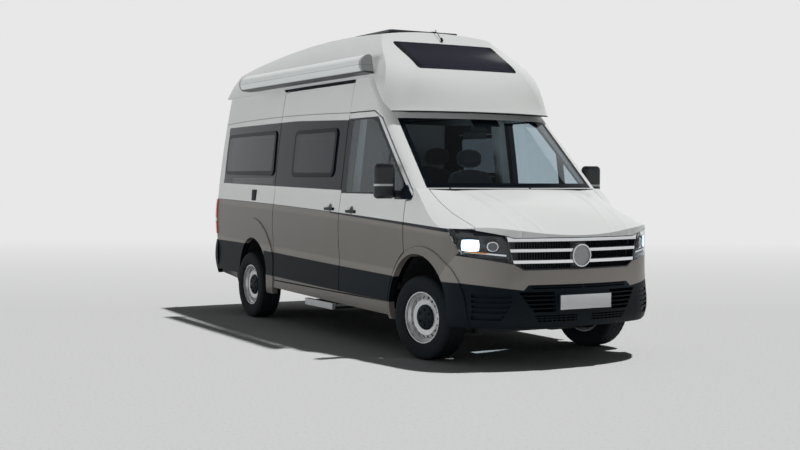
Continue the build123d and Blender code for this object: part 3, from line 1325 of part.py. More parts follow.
# ---------------------------------------------------------------- awning, roof window, hatch, antenna
AWNING_SPAN = (2048, 4960)
with BuildPart() as awning:
    with BuildSketch(Plane.XZ.offset(-at(AWNING_SPAN[0]))):
        with BuildLine():
            Line((-846, 2484), (-944, 2492))
            ThreePointArc((-944, 2492), (-984, 2566), (-934, 2644))
            ThreePointArc((-934, 2644), (-900, 2656), (-868, 2640))
            Line((-868, 2640), (-846, 2484))
        make_face()
    extrude(amount=-(AWNING_SPAN[1] - AWNING_SPAN[0]))
    with BuildPart(mode=Mode.PRIVATE) as brackets:
        for station in (AWNING_SPAN[0] + 150, sum(AWNING_SPAN) / 2, AWNING_SPAN[1] - 150):
            with BuildSketch(Plane.XZ.offset(-at(station))):
                with Locations((-820, 2530)):
                    Rectangle(90, 60)
            extrude(amount=-60)
        add(cap_block(-SEAT_GAP), mode=Mode.SUBTRACT)
    add(brackets.part)
save(awning.part, "awning")

ROOF_HATCH = (2560, 3320)
HATCH_HALF = 390
SKYLIGHT = [(1745, 2530), (2205, 2814)]
SKYLIGHT_HALF = (545, 560)
ANTENNA_STATION = 2400

with BuildPart() as skylight:
    add(cap_block(-4))
    add(cap_block(-1), mode=Mode.SUBTRACT)
    with BuildSketch(Plane.XZ.offset(-at(1500))):
        with BuildLine():
            FilletPolyline((-SKYLIGHT_HALF[0], SKYLIGHT[0][1]), (SKYLIGHT_HALF[0], SKYLIGHT[0][1]),
                           (SKYLIGHT_HALF[1], SKYLIGHT[1][1]), (-SKYLIGHT_HALF[1], SKYLIGHT[1][1]),
                           radius=30, close=True)
        make_face()
    extrude(amount=-1000, mode=Mode.INTERSECT)
save(skylight.part, "roof_window")

HATCH_SEAT_Z = ROOF_TOP - 20
HATCH_HINGE = (ROOF_HATCH[1] + 8, ROOF_TOP - 13)
BARREL = (210, 290)
CHEEK = 10

with BuildPart() as hatch_frame:
    with BuildPart(mode=Mode.PRIVATE) as upstand:
        with BuildSketch(Plane.XY.offset(HATCH_SEAT_Z - 40)):
            with Locations((0, at(sum(ROOF_HATCH) / 2))):
                RectangleRounded(2 * HATCH_HALF, ROOF_HATCH[1] - ROOF_HATCH[0], 40)
                RectangleRounded(2 * HATCH_HALF - 80, ROOF_HATCH[1] - ROOF_HATCH[0] - 80, 20, mode=Mode.SUBTRACT)
        extrude(amount=40 - SEAT_GAP)
        for side in (-1, 1):
            for edge in (BARREL[0] - SEAT_GAP - CHEEK, BARREL[1] + SEAT_GAP):
                with BuildSketch(Plane.YZ.offset(side * edge)):
                    with BuildLine():
                        Polyline([(at(ROOF_HATCH[1] - 6), HATCH_SEAT_Z - 40), (at(ROOF_HATCH[1] + 18), HATCH_SEAT_Z - 40),
                                  (at(ROOF_HATCH[1] + 18), ROOF_TOP - 5), (at(ROOF_HATCH[1] + 11), ROOF_TOP - 5),
                                  (at(ROOF_HATCH[1] + 2), ROOF_TOP - 16), (at(ROOF_HATCH[1] + 2), HATCH_SEAT_Z - 2),
                                  (at(ROOF_HATCH[1] - 6), HATCH_SEAT_Z - 2)],
                                 close=True)
                    make_face()
                extrude(amount=side * CHEEK)
        with BuildSketch(Plane.XY.offset(HATCH_SEAT_Z - 60)):
            with Locations((0, at(ANTENNA_STATION))):
                Circle(26)
        extrude(amount=60)
        add(cap_block(-SEAT_GAP), mode=Mode.SUBTRACT)
    add(upstand.part)
save(hatch_frame.part, "roof_hatch_frame")

with BuildPart() as hatch_lid:
    with BuildSketch(Plane.XY.offset(HATCH_SEAT_Z)):
        with Locations((0, at(sum(ROOF_HATCH) / 2))):
            RectangleRounded(2 * HATCH_HALF, ROOF_HATCH[1] - ROOF_HATCH[0], 40)
    extrude(amount=ROOF_TOP - HATCH_SEAT_Z)
    for side in (-1, 1):
        with BuildSketch(Plane.YZ.offset(side * BARREL[0])):
            with Locations((at(HATCH_HINGE[0]), HATCH_HINGE[1])):
                Circle(6)
            with Locations((at(HATCH_HINGE[0] - 6), HATCH_HINGE[1])):
                Rectangle(10, 8)
        extrude(amount=side * (BARREL[1] - BARREL[0]))
save(hatch_lid.part, "roof_hatch_lid")

# ---------------------------------------------------------------- wipers
WIPERS = ((-700, -90), (60, 700))
WIPER_Z = 1447


def screen_line(x, ahead):
    """Plan point just ahead of the windscreen's lower edge."""
    row = UPPER_BODY[0]
    radius = (row.chord ** 2 + row.bow ** 2) / (2 * row.bow)
    return (x, at(row.nose) + radius - sqrt(radius ** 2 - x ** 2) - ahead)


with BuildPart() as wipers:
    for start, end in WIPERS:
        middle = (start + end) / 2
        with BuildSketch(Plane.XY.offset(WIPER_Z)):
            with BuildLine():
                ThreePointArc(screen_line(start, 6), screen_line(middle, 6), screen_line(end, 6))
                Line(screen_line(end, 6), screen_line(end, 20))
                ThreePointArc(screen_line(end, 20), screen_line(middle, 20), screen_line(start, 20))
                Line(screen_line(start, 20), screen_line(start, 6))
            make_face()
        extrude(amount=12)
        with BuildSketch(Plane.XY.offset(BELT_Z + SEAT_GAP)):
            with Locations(screen_line(start + 12, 7 + SEAT_GAP)):
                Circle(7)
        extrude(amount=WIPER_Z - BELT_Z)
save(wipers.part, "wipers")

# ---------------------------------------------------------------- dashboard and steering wheel
DASH_HALF = 800
DASH_FRONT = BULKHEAD + 10 + SEAT_GAP
WHEEL_X = 430
STEERING_R = 195
STEERING_CENTRE = (WHEEL_X, at(1690), 1290)
STEERING_TILT = 32

steering_axis = Vector(0, cos(radians(STEERING_TILT)), sin(radians(STEERING_TILT)))
steering_plane = Plane(origin=STEERING_CENTRE, x_dir=(1, 0, 0), z_dir=steering_axis)
with BuildPart() as dashboard:
    with BuildSketch(Plane.YZ.offset(-DASH_HALF)):
        with BuildLine():
            FilletPolyline((at(DASH_FRONT), 900), (at(DASH_FRONT), 1352), (at(1300), 1372), (at(1520), 1330), (at(1560), 1230),
                           (at(1420), 1080), (at(1420), 900), radius=40, close=True)
        make_face()
    extrude(amount=2 * DASH_HALF)
    add(LOWER[FLOOR_INSET], mode=Mode.INTERSECT)
    with BuildSketch(steering_plane.offset(-30 - SEAT_GAP)):
        Circle(30)
    extrude(amount=-200)
save(dashboard.part, "dashboard")

with BuildPart() as steering_wheel:
    with BuildSketch(Plane(origin=STEERING_CENTRE, x_dir=steering_plane.x_dir, z_dir=steering_plane.y_dir)):
        with Locations((STEERING_R - 15, 0)):
            Circle(15)
    revolve(axis=Axis(STEERING_CENTRE, steering_axis))
    with BuildSketch(steering_plane.offset(-30)):
        Circle(78)
        Rectangle(2 * STEERING_R - 30, 44)
        with Locations((0, -90)):
            Rectangle(48, 170)
    extrude(amount=24)
save(steering_wheel.part, "steering_wheel")

# ---------------------------------------------------------------- seats
SEAT_WIDTH = 500
SEAT_PROFILE = [(0, 0), (40, 130), (520, 150), (600, 700), (585, 720), (600, 905), (700, 905), (715, 740),
                (700, 680), (660, 60), (600, 0)]


def seat(x, station, height, width, facing):
    """Upholstered seat with headrest from its side profile, facing forward at 1 or rearward at -1."""
    with BuildPart() as soft:
        with BuildSketch(Plane.YZ.offset(x - width / 2)):
            with BuildLine():
                FilletPolyline([(at(station) + facing * p[0], height + p[1]) for p in SEAT_PROFILE], radius=6,
                               close=True)
            make_face()
        extrude(amount=width)
    return soft.part


SEAT_X = 430
SEAT_STATION = 1760
SEAT_BASE_TOP = 920
for name, x in (("driver_seat", SEAT_X), ("passenger_seat", -SEAT_X)):
    with BuildPart() as cab_seat:
        add(seat(x, SEAT_STATION, SEAT_BASE_TOP + 0.3, SEAT_WIDTH, 1))
    save(cab_seat.part, name)

with BuildPart() as seat_bases:
    with BuildSketch(Plane.XY.offset(FLOOR_TOP)):
        with Locations((-SEAT_X, at(SEAT_STATION + 330)), (SEAT_X, at(SEAT_STATION + 330))):
            RectangleRounded(400, 420, 30)
    extrude(amount=SEAT_BASE_TOP - FLOOR_TOP)
save(seat_bases.part, "seat_bases")

# ---------------------------------------------------------------- living space
BENCH = (2650, 3330)
BENCH_BASE_TOP = 960
with BuildPart() as bench_seat:
    add(seat(430, 2700, BENCH_BASE_TOP + 0.3, 800, 1))
save(bench_seat.part, "bench_seat")

with BuildPart() as furniture:
    with BuildSketch(Plane.XY.offset(FLOOR_TOP)):
        with Locations((445, at(3030))):
            RectangleRounded(830, 560, 20)
    extrude(amount=BENCH_BASE_TOP - FLOOR_TOP)
    with BuildSketch(Plane.XY.offset(FLOOR_TOP)):
        with Locations((-600, at(3640))):
            RectangleRounded(440, 700, 20)
    extrude(amount=900)
save(furniture.part, "kitchen_and_bench_base")

with BuildPart() as wet_room:
    with BuildSketch(Plane.XY.offset(FLOOR_TOP)):
        with Locations((430, at(3800))):
            RectangleRounded(740, 740, 60)
            RectangleRounded(710, 710, 46, mode=Mode.SUBTRACT)
    extrude(amount=1500)
save(wet_room.part, "wet_room")

BED_Z = 1150
with BuildPart() as bed_base:
    with BuildSketch(Plane.XY.offset(BED_Z)):
        with Locations((0, at(5060))):
            Rectangle(1640, 1400)
    extrude(amount=40)
    for x in (-640, 640):
        with BuildSketch(Plane.XY.offset(FLOOR_TOP)):
            with Locations((x, at(5060))):
                Rectangle(30, 1380)
        extrude(amount=BED_Z - FLOOR_TOP)
save(bed_base.part, "bed_base")

with BuildPart() as mattress:
    with BuildSketch(Plane.XY.offset(BED_Z + 40.3)):
        with Locations((0, at(5060))):
            RectangleRounded(1620, 1380, 60)
    extrude(amount=140)
save(mattress.part, "mattress")
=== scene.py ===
"""Camper van: paint zones, glass, lamps, tyres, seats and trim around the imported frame."""
import math

import bmesh
import bpy
from mathutils import Matrix, Vector
from mathutils.bvhtree import BVHTree


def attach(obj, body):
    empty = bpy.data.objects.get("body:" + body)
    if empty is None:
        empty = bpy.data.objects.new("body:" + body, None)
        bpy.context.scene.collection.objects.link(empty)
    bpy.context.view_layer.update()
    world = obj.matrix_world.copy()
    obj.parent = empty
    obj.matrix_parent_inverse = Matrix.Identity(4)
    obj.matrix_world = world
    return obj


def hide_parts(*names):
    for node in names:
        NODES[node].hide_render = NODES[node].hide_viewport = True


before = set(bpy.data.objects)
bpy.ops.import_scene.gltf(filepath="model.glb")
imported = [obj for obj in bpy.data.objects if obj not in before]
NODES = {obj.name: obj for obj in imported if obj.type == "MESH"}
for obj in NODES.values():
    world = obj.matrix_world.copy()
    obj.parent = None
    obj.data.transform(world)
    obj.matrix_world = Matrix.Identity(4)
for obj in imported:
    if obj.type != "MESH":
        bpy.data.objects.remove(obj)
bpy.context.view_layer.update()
VAN = "van_body"
SIDES = ((1, "left"), (-1, "right"))
CORNERS = ((-1, -1), (1, -1), (1, 1), (-1, 1))
FRONT_Y = -2.993


def at(station):
    """Y of a station counted backward from the front bumper, in metres."""
    return FRONT_Y + station


# ---------- node helpers
class Graph:
    """Short calls for building one material's nodes; x, y and z are metres in the van's frame."""

    def __init__(self, name):
        self.material = bpy.data.materials.new(name)
        self.material.use_nodes = True
        self.tree = self.material.node_tree
        self.shader = self.tree.nodes["Principled BSDF"]
        self.place = self.node("TexCoord").outputs["Object"]
        self.x, self.y, self.z = self.node("SeparateXYZ", Vector=self.place).outputs

    def plug(self, socket, value):
        """Link an output, or write a number or a colour."""
        if isinstance(value, bpy.types.NodeSocket):
            self.tree.links.new(value, socket)
        elif isinstance(value, tuple):
            socket.default_value = (*value, 1)
        else:
            socket.default_value = value

    def fill(self, node, **values):
        """Inputs of a node by name, with _ for a space."""
        for name, value in values.items():
            self.plug(node.inputs[name.replace("_", " ")], value)
        return node

    def node(self, kind, **values):
        """New shader node of a kind, with its inputs."""
        return self.fill(self.tree.nodes.new("ShaderNode" + kind), **values)

    def set(self, **values):
        """Inputs of the material's own shader."""
        self.fill(self.shader, **values)

    def math(self, operation, *values, clamp=False):
        """One math node."""
        node = self.node("Math")
        node.operation = operation
        node.use_clamp = clamp
        for socket, value in zip(node.inputs, values):
            self.plug(socket, value)
        return node.outputs[0]

    def chain(self, operation, first, *others):
        """One operation carried on through any number of values."""
        for value in others:
            first = self.math(operation, first, value)
        return first

    def plus(self, *values):
        """Sum of values."""
        return self.chain("ADD", *values)

    def minus(self, value, other):
        """Difference of two values."""
        return self.math("SUBTRACT", value, other)

    def times(self, *values):
        """Product of values; of masks, where all of them hold."""
        return self.chain("MULTIPLY", *values)

    def either(self, *masks):
        """Where any of the masks holds."""
        return self.chain("MAXIMUM", *masks)

    def line(self, value, slope, start):
        """Straight line over a value."""
        return self.math("MULTIPLY_ADD", value, slope, start)

    def out(self):
        """Distance from the van's middle plane."""
        return self.math("ABSOLUTE", self.x)

    def off(self, value, centre):
        """Distance of a value from a centre."""
        return self.math("ABSOLUTE", self.minus(value, centre))

    def reach(self, across, along):
        """Distance over two offsets at right angles."""
        return self.math("SQRT", self.plus(self.times(across, across), self.times(along, along)))

    def held(self, value, high):
        """Value kept between 0 and a highest one."""
        return self.math("MINIMUM", self.math("MAXIMUM", value, 0), high)

    def cycle(self, value, per_metre):
        """0 to 1 over and over along a length."""
        return self.math("FRACT", self.times(value, per_metre))

    def above(self, value, edge, soft=0.002):
        """0 below an edge and 1 above it, with a narrow ramp."""
        return self.math("MULTIPLY_ADD", self.minus(value, edge), 0.5 / soft, 0.5, clamp=True)

    def below(self, value, edge, soft=0.002):
        """1 below an edge and 0 above it, with a narrow ramp."""
        return self.minus(1, self.above(value, edge, soft))

    def between(self, value, low, high, soft=0.002):
        """1 between two edges."""
        return self.times(self.above(value, low, soft), self.below(value, high, soft))

    def mix(self, share, first, second):
        """Blend of two colours."""
        node = self.node("Mix")
        node.data_type = "RGBA"
        for socket, value in ((0, share), (6, first), (7, second)):
            self.plug(node.inputs[socket], value)
        return node.outputs[2]

    def blend(self, share, first, second):
        """Blend of two numbers."""
        node = self.node("Mix")
        for socket, value in ((0, share), (2, first), (3, second)):
            self.plug(node.inputs[socket], value)
        return node.outputs[0]

    def noise(self, scale, detail=3):
        """Noise in the object's own space."""
        return self.node("TexNoise", Vector=self.place, Scale=scale, Detail=detail).outputs[0]

    def shade(self, colour, spread, scale=3):
        """A colour that wanders a little over the surface."""
        dark = tuple(channel * (1 - spread) for channel in colour)
        light = tuple(channel * (1 + spread) for channel in colour)
        return self.mix(self.noise(scale), dark, light)

    def bump(self, height, strength, distance=0.001, under=None):
        """Normal bent by a height, on top of an earlier bent normal."""
        node = self.node("Bump", Height=height, Strength=strength, Distance=distance)
        if under is not None:
            self.fill(node, Normal=under)
        self.set(Normal=node.outputs[0])
        return node.outputs[0]

    def mix_shaders(self, share, first, second):
        """Blend of two shaders."""
        node = self.node("MixShader")
        for socket, value in enumerate((share, first.outputs[0], second.outputs[0])):
            self.plug(node.inputs[socket], value)
        return node

    def show(self, shader):
        """Send a shader to the surface."""
        self.fill(self.tree.nodes["Material Output"], Surface=shader.outputs[0])


# ---------- painted body
WHITE = (0.68, 0.69, 0.68)
BEIGE = (0.162, 0.15, 0.137)
# Painted light: the wing and the front bumper take lighter copies of the same beige paint, for the
# brighter light at the front.
LIT_WING_BEIGE = (0.17, 0.158, 0.146)
LIT_BUMPER_BEIGE = (0.225, 0.21, 0.198)
PLASTIC = (0.0035, 0.007, 0.0105)
GLOSS_BLACK = (0.008, 0.012, 0.018)
SATIN_BLACK = (0.01, 0.012, 0.015)
CREASE_GREY = (0.1, 0.1, 0.1)
# Painted shade in the recessed dish behind each door handle.
DISH_SHADE = (0.16, 0.16, 0.16)
VENT_GREY = (0.085, 0.092, 0.1)
# Painted shade inside the vent strip's holes.
VENT_HOLE_SHADE = (0.012, 0.014, 0.017)

PAINT_ROUGHNESS = 0.32
PLASTIC_ROUGHNESS = 0.55
GLOSS_ROUGHNESS = 0.06
PAINT_COAT = 0.12
PAINT_EDGE = 0.0008

BELT_FRONT = at(0.505)
BELT_LENGTH = 4.875
BELT_START_Z = 1.119
BELT_SLOPE = 0.2438
BELT_CURVE = -0.0848
STRIP_END = at(2.62)
STRIP_WIDTH = 0.004
FOLD_UPPER = 0.062
FOLD_LOWER = 0.065
# Painted light: the fold bands on the side panels are painted this much lighter than the beige.
FOLD_PAINTED_LIGHT = 1.3
CLADDING_END = at(4.289)
TAIL_START, TAIL_TOP = at(4.75), 0.8
# Top height and rear end of the painted shadow under the roof cap's front overhang.
LIP_Z, LIP_END = 2.129, at(1.9)
SILL_X = 0.93
HANDLE_HALF, HANDLE_RISE = (0.088, 0.0145), 0.014
DISH_RADIUS = 0.0365


def sloped(g, station, height, slope):
    """Height of a straight line along the side."""
    return g.line(g.minus(g.y, at(station)), slope, height)


def belt_height(g):
    """Height of the line between white and beige along the side."""
    share = g.math("DIVIDE", g.minus(g.y, BELT_FRONT), BELT_LENGTH)
    return g.plus(BELT_START_Z, g.times(share, g.line(share, BELT_CURVE, BELT_SLOPE)))


def belt_strip(g, drop, side):
    """Thin black strip under the belt, wider ahead of the sliding door."""
    wide = g.math("MAXIMUM", STRIP_WIDTH, g.line(g.minus(STRIP_END, g.y), 0.007, 0.011))
    width = g.plus(STRIP_WIDTH, g.times(g.below(g.y, STRIP_END, 0.01), wide))
    return g.times(g.between(drop, 0, width, PAINT_EDGE), g.above(side, 0.7, 0.01))


def window_band(g, side):
    """Black band that holds the side windows."""
    low = sloped(g, 2.391, 1.412, 0.0172)
    high = g.math("MINIMUM", sloped(g, 2.43, 2.073, 0.03), 2.108)
    return g.times(g.above(g.z, low), g.below(g.z, high), g.between(g.y, at(2.3), at(5.655)),
                   g.above(side, 0.6, 0.01))


def door_frame_zones(g):
    """Black parts of a cab door: rear pillar, edge of the glass and foot of the mirror."""
    pillar = g.times(g.between(g.y, at(2.3), at(2.45)), g.between(g.z, 1.405, 2.078))
    front = g.line(g.minus(g.z, 1.39), 1.045, at(1.145))
    glass_edge = g.times(g.above(g.y, front), g.between(g.z, 1.385, 2.084), g.below(g.y, at(2.45)))
    foot = g.times(g.between(g.y, at(1.1), at(1.4)), g.between(g.z, 1.345, 1.47),
                   g.above(g.minus(g.y, front), -0.03))
    return pillar, glass_edge, foot


def bumper_edge(g, side, height):
    """Top of the bumper's black part, higher in the middle and towards the corners."""
    corner = g.times(g.above(side, 0.75, 0.2), 0.05)
    middle = g.times(g.below(side, 0.52, 0.022), 0.04)
    return g.plus(height, corner, middle)


def with_vent(g, colour, side):
    """Colour with the perforated strip above the rear wheel, whose holes are painted near-black as
    painted shade.
    """
    strip = g.times(g.between(g.y, 1.1, 2.36), g.between(g.z, 1.462, 1.528),
                    g.above(side, 0.6, 0.01))
    rows = g.above(g.cycle(g.z, 62), 0.45, 0.1)
    holes = g.above(g.cycle(g.y, 22), 0.3, 0.1)
    return g.mix(strip, colour, g.mix(g.times(rows, holes), VENT_GREY, VENT_HOLE_SHADE))


def with_crease(g, colour):
    """Colour with the fine line between the side and the high roof."""
    run = g.math("DIVIDE", g.minus(g.y, at(2.436)), 3.148)
    line = g.plus(2.14, g.times(run, g.line(run, -0.084, 0.1)))
    return g.mix(g.times(g.below(g.off(g.z, line), 0.0045), 0.75), colour, CREASE_GREY)


def with_handle(g, colour, side, station, height):
    """Colour with a dark door handle over its dish, whose grey is painted shade in the recess."""
    y, (half_y, half_z) = at(station), HANDLE_HALF
    grip = g.times(g.between(g.y, y - half_y, y + half_y),
                   g.between(g.z, height - half_z, height + half_z), g.above(side, 0.99))
    reach = g.reach(g.minus(g.y, y), g.minus(g.z, height + HANDLE_RISE))
    return g.mix(grip, g.mix(g.below(reach, DISH_RADIUS), colour, DISH_SHADE), PLASTIC)


def bonnet_ridges(g, side):
    """Heights of the two ridges that run along each half of the bonnet."""
    run = g.minus(at(1.02), g.y)
    ridges = []
    for start, pull in ((0.62, 0.1), (0.48, 0.16)):
        line = g.minus(start, g.times(run, run, pull))
        slope = g.math("MULTIPLY", g.off(side, line), 22, clamp=True)
        ridge = g.minus(1, slope)
        ridges.append(g.times(ridge, ridge, 9))
    return ridges


def coachwork(name, two_tone=True, cladding=False, band=False, door_frame=False, rail=False,
              handles=(), black_below=None, rear_black=False, sill=False, ridges=False,
              vent=False, crease=False, shaded_lip=False, beige=BEIGE):
    """Painted body: white above the belt, beige below it, with the dark zones each panel has, among
    them a painted shadow under the roof cap's front overhang, and lighter fold bands that are
    painted light.
    """
    g = Graph(name)
    side = g.out()
    colour = g.shade(WHITE, 0.012, 1.5)
    dark, gloss, folds = [], [], None
    if two_tone:
        belt = belt_height(g)
        drop = g.minus(belt, g.z)
        under_belt = g.above(drop, 0, PAINT_EDGE)
        strip = belt_strip(g, drop, side)
        colour = g.mix(under_belt, colour, g.shade(beige, 0.03, 2))
        colour = g.mix(strip, colour, GLOSS_BLACK)
    if cladding:
        top = sloped(g, 1.428, 0.677, 0.0252)
        low = sloped(g, 1.378, 0.447, 0.017)
        outer = g.above(side, 0.9, 0.01)
        # Painted light: lighter beige bands under the belt and above the cladding stand in for the
        # light the folded panel catches there.
        painted_light_bands = g.either(g.between(drop, 0.004, FOLD_UPPER, 0.012),
                          g.between(g.minus(g.z, top), -0.01, FOLD_UPPER, 0.012))
        lit = tuple(channel * FOLD_PAINTED_LIGHT for channel in beige)
        colour = g.mix(g.times(painted_light_bands, outer, under_belt, g.minus(1, strip)), colour, lit)
        dark.append(g.times(g.below(g.z, top), g.above(g.z, low), g.below(g.y, CLADDING_END),
                            outer))
        fold = g.plus(g.held(g.minus(g.z, g.minus(belt, FOLD_UPPER)), FOLD_UPPER),
                      g.held(g.minus(g.z, top), FOLD_LOWER))
        folds = g.bump(g.times(fold, -0.22), 1, 1)
    if rear_black:
        dark.append(g.times(g.above(g.y, TAIL_START), g.below(g.z, TAIL_TOP)))
    if black_below is not None:
        dark.append(g.below(g.z, bumper_edge(g, side, black_below)))
    # Painted shadow: a dark strip along the underside of the roof cap's front overhang, in the
    # black plastic's colour.
    if shaded_lip:
        dark.append(g.times(g.below(g.z, LIP_Z, 0.003), g.below(g.y, LIP_END)))
    if sill:
        dark.append(g.below(side, SILL_X, 0.01))
    if band:
        gloss.append(window_band(g, side))
    if door_frame:
        gloss.extend(door_frame_zones(g))
    if rail:
        gloss.append(g.times(g.between(g.z, 2.431, 2.458), g.between(g.y, at(2.43), at(4.042)),
                             g.above(side, 0.8, 0.01)))

    finish, coat = PAINT_ROUGHNESS, PAINT_COAT
    height = g.times(g.noise(700, 1), 0.02)
    if dark:
        dark = g.either(*dark)
        colour = g.mix(dark, colour, g.shade(PLASTIC, 0.25, 30))
        finish = g.blend(dark, finish, PLASTIC_ROUGHNESS)
        coat = g.times(g.minus(1, dark), coat)
        height = g.plus(height, g.times(g.noise(900, 2), dark, 0.4))
    if gloss:
        gloss = g.either(*gloss)
        colour = g.mix(gloss, colour, GLOSS_BLACK)
        finish = g.blend(gloss, finish, GLOSS_ROUGHNESS)
    if vent:
        colour = with_vent(g, colour, side)
    if crease:
        colour = with_crease(g, colour)
    for station, level in handles:
        colour = with_handle(g, colour, side, station, level)
    if ridges:
        height = g.plus(height, *bonnet_ridges(g, side))
    g.set(Base_Color=colour, Roughness=finish, Specular_IOR_Level=0.12, Coat_Weight=coat,
          Coat_Roughness=0.08)
    g.bump(height, 0.6, under=folds)
    return g.material


# ---------- other finishes
def plain(name, colour, roughness, spread=0.1, scale=8, grain=0, grain_scale=800, **more):
    """One finish whose colour wanders a little and whose surface has a grain."""
    g = Graph(name)
    g.set(Base_Color=g.shade(colour, spread, scale), Roughness=roughness, **more)
    if grain:
        g.bump(g.noise(grain_scale), grain)
    return g.material


def glass(name, tint, border=None, solid=0):
    """Tinted pane, clear and reflecting, with black print where the border mask says."""
    g = Graph(name)
    clear = g.node("BsdfTransparent", Color=tint)
    shine = g.node("BsdfGlossy", Color=(0.9, 0.93, 0.95), Roughness=0.02)
    facing = g.node("LayerWeight").outputs["Facing"]
    pane = g.mix_shaders(g.line(g.math("POWER", facing, 5), 0.96, 0.035), clear, shine)
    g.set(Base_Color=g.shade((0.004, 0.006, 0.009), 0.2, 6), Roughness=0.3, Specular_IOR_Level=0.08)
    g.show(g.mix_shaders(border(g) if border else solid, pane, g.shader))
    return g.material


def screen_border(g):
    """Black printed border of the windscreen, with the sensor patch at the top middle."""
    side = g.out()
    rise = g.math("DIVIDE", g.minus(g.z, 1.438), 0.634)
    outer = g.above(side, g.minus(g.line(rise, -0.074, 0.878), 0.045))
    high = g.above(g.z, g.line(g.times(g.x, g.x), -0.075, 2.082))
    patch = g.times(g.below(side, 0.14), g.above(g.z, 2.0))
    return g.either(outer, g.below(g.z, 1.485), high, patch)


# Side (0 for both), front and rear stations, lower and upper edge.
WINDOWS = [(1, 2.62, 3.38, 1.549, 1.989), (-1, 2.612, 3.588, 1.538, 2.008),
           (0, 4.09, 5.6, 1.562, 2.026)]
WINDOW_FRAME = 0.04
WINDOW_CORNER = 0.045
PANE_CLEARNESS = 0.92


def window_border(g):
    """Black frame round each side window's pane, and a thin film over the pane."""
    panes = []
    for side, front, rear, low, high in WINDOWS:
        offsets = []
        for value, start, end in ((g.y, at(front), at(rear)), (g.z, low, high)):
            straight = (end - start) / 2 - WINDOW_FRAME - WINDOW_CORNER
            past = g.minus(g.off(value, (start + end) / 2), straight)
            offsets.append(g.math("MAXIMUM", past, 0))
        pane = g.below(g.reach(*offsets), WINDOW_CORNER)
        if side:
            pane = g.times(pane, g.above(g.times(g.x, side), 0))
        panes.append(pane)
    return g.minus(1, g.times(g.either(*panes), PANE_CLEARNESS))


def awning_case():
    """Awning case: pale profile, grey end caps, a near-black band along its underside that is
    painted shade, and a seam along its front.
    """
    g = Graph("awning_case")
    caps = g.either(g.below(g.y, -0.905), g.above(g.y, 1.927))
    # Painted shade: the lowest band of the case, facing down, is painted near-black.
    slot = g.below(g.z, 2.505, 0.004)
    seam = g.between(g.z, 2.56, 2.5635, PAINT_EDGE)
    colour = g.mix(caps, g.shade((0.7, 0.72, 0.71), 0.02, 2), (0.3, 0.31, 0.31))
    colour = g.mix(g.times(seam, 0.7), colour, (0.08, 0.08, 0.08))
    g.set(Base_Color=g.mix(slot, colour, (0.03, 0.035, 0.04)), Roughness=0.4)
    g.bump(g.noise(1200, 2), 0.05)
    return g.material


def red_lens():
    """Tail lamp: red with darker ribs and a clear stripe."""
    g = Graph("tail_lens")
    bright = g.above(g.cycle(g.z, 14), 0.18, 0.05)
    clear = g.between(g.z, 1.02, 1.06, 0.003)
    colour = g.mix(bright, (0.22, 0.006, 0.008), (0.62, 0.02, 0.025))
    g.set(Base_Color=g.mix(clear, colour, (0.62, 0.6, 0.58)), Roughness=0.12, Coat_Weight=0.8,
          Emission_Color=(0.8, 0.05, 0.04), Emission_Strength=0.12)
    return g.material


def roof_pane():
    """Dark roof window with a fine grid behind the glass."""
    g = Graph("roof_pane")
    cell = g.times(g.between(g.cycle(g.x, 26), 0.08, 0.92, 0.04),
                   g.between(g.cycle(g.z, 30), 0.1, 0.9, 0.05))
    grid = g.times(cell, g.below(g.out(), 0.49), g.above(g.z, 2.53))
    g.set(Base_Color=g.mix(grid, (0.01, 0.012, 0.016), (0.024, 0.024, 0.04)), Roughness=0.1,
          Specular_IOR_Level=0.25)
    return g.material


def mirror_shell():
    """Mirror housing: black grained shell with a clear repeater strip at mid height."""
    g = Graph("mirror_shell")
    strip = g.times(g.between(g.z, 1.458, 1.476, 0.001), g.above(g.out(), 1.055),
                    g.below(g.y, at(1.36)))
    g.set(Base_Color=g.mix(strip, g.shade(SATIN_BLACK, 0.2, 20), (0.45, 0.47, 0.48)),
          Roughness=g.blend(strip, 0.35, 0.12))
    g.bump(g.noise(900, 2), 0.2)
    return g.material


BOSS_Z, BOSS_INNER, BOSS_OUTER = 0.906, 0.082, 0.094


def grille_finish():
    """Grille: bright bars near the skin, plain boss, black panel and frame behind them."""
    g = Graph("grille_finish")
    bars = g.either(g.between(g.z, 1.0225, 1.062), g.between(g.z, 0.939, 0.964),
                    g.between(g.z, 0.848, 0.874))
    front = g.line(g.times(g.x, g.x), 0.33, at(0.06))
    near = g.below(g.y, g.plus(front, 0.028), 0.003)
    reach = g.reach(g.x, g.minus(g.z, BOSS_Z))
    boss = g.below(reach, BOSS_OUTER)
    rim = g.between(reach, BOSS_INNER, BOSS_OUTER)
    bright = g.either(g.times(bars, near, g.minus(1, boss)), rim)
    colour = g.mix(bright, g.shade(SATIN_BLACK, 0.2, 20), (0.74, 0.76, 0.78))
    colour = g.mix(g.times(boss, g.minus(1, rim)), colour, (0.3, 0.31, 0.32))
    g.set(Base_Color=colour, Metallic=g.either(bright, g.times(boss, 0.8)),
          Roughness=g.blend(bright, 0.4, 0.12))
    return g.material


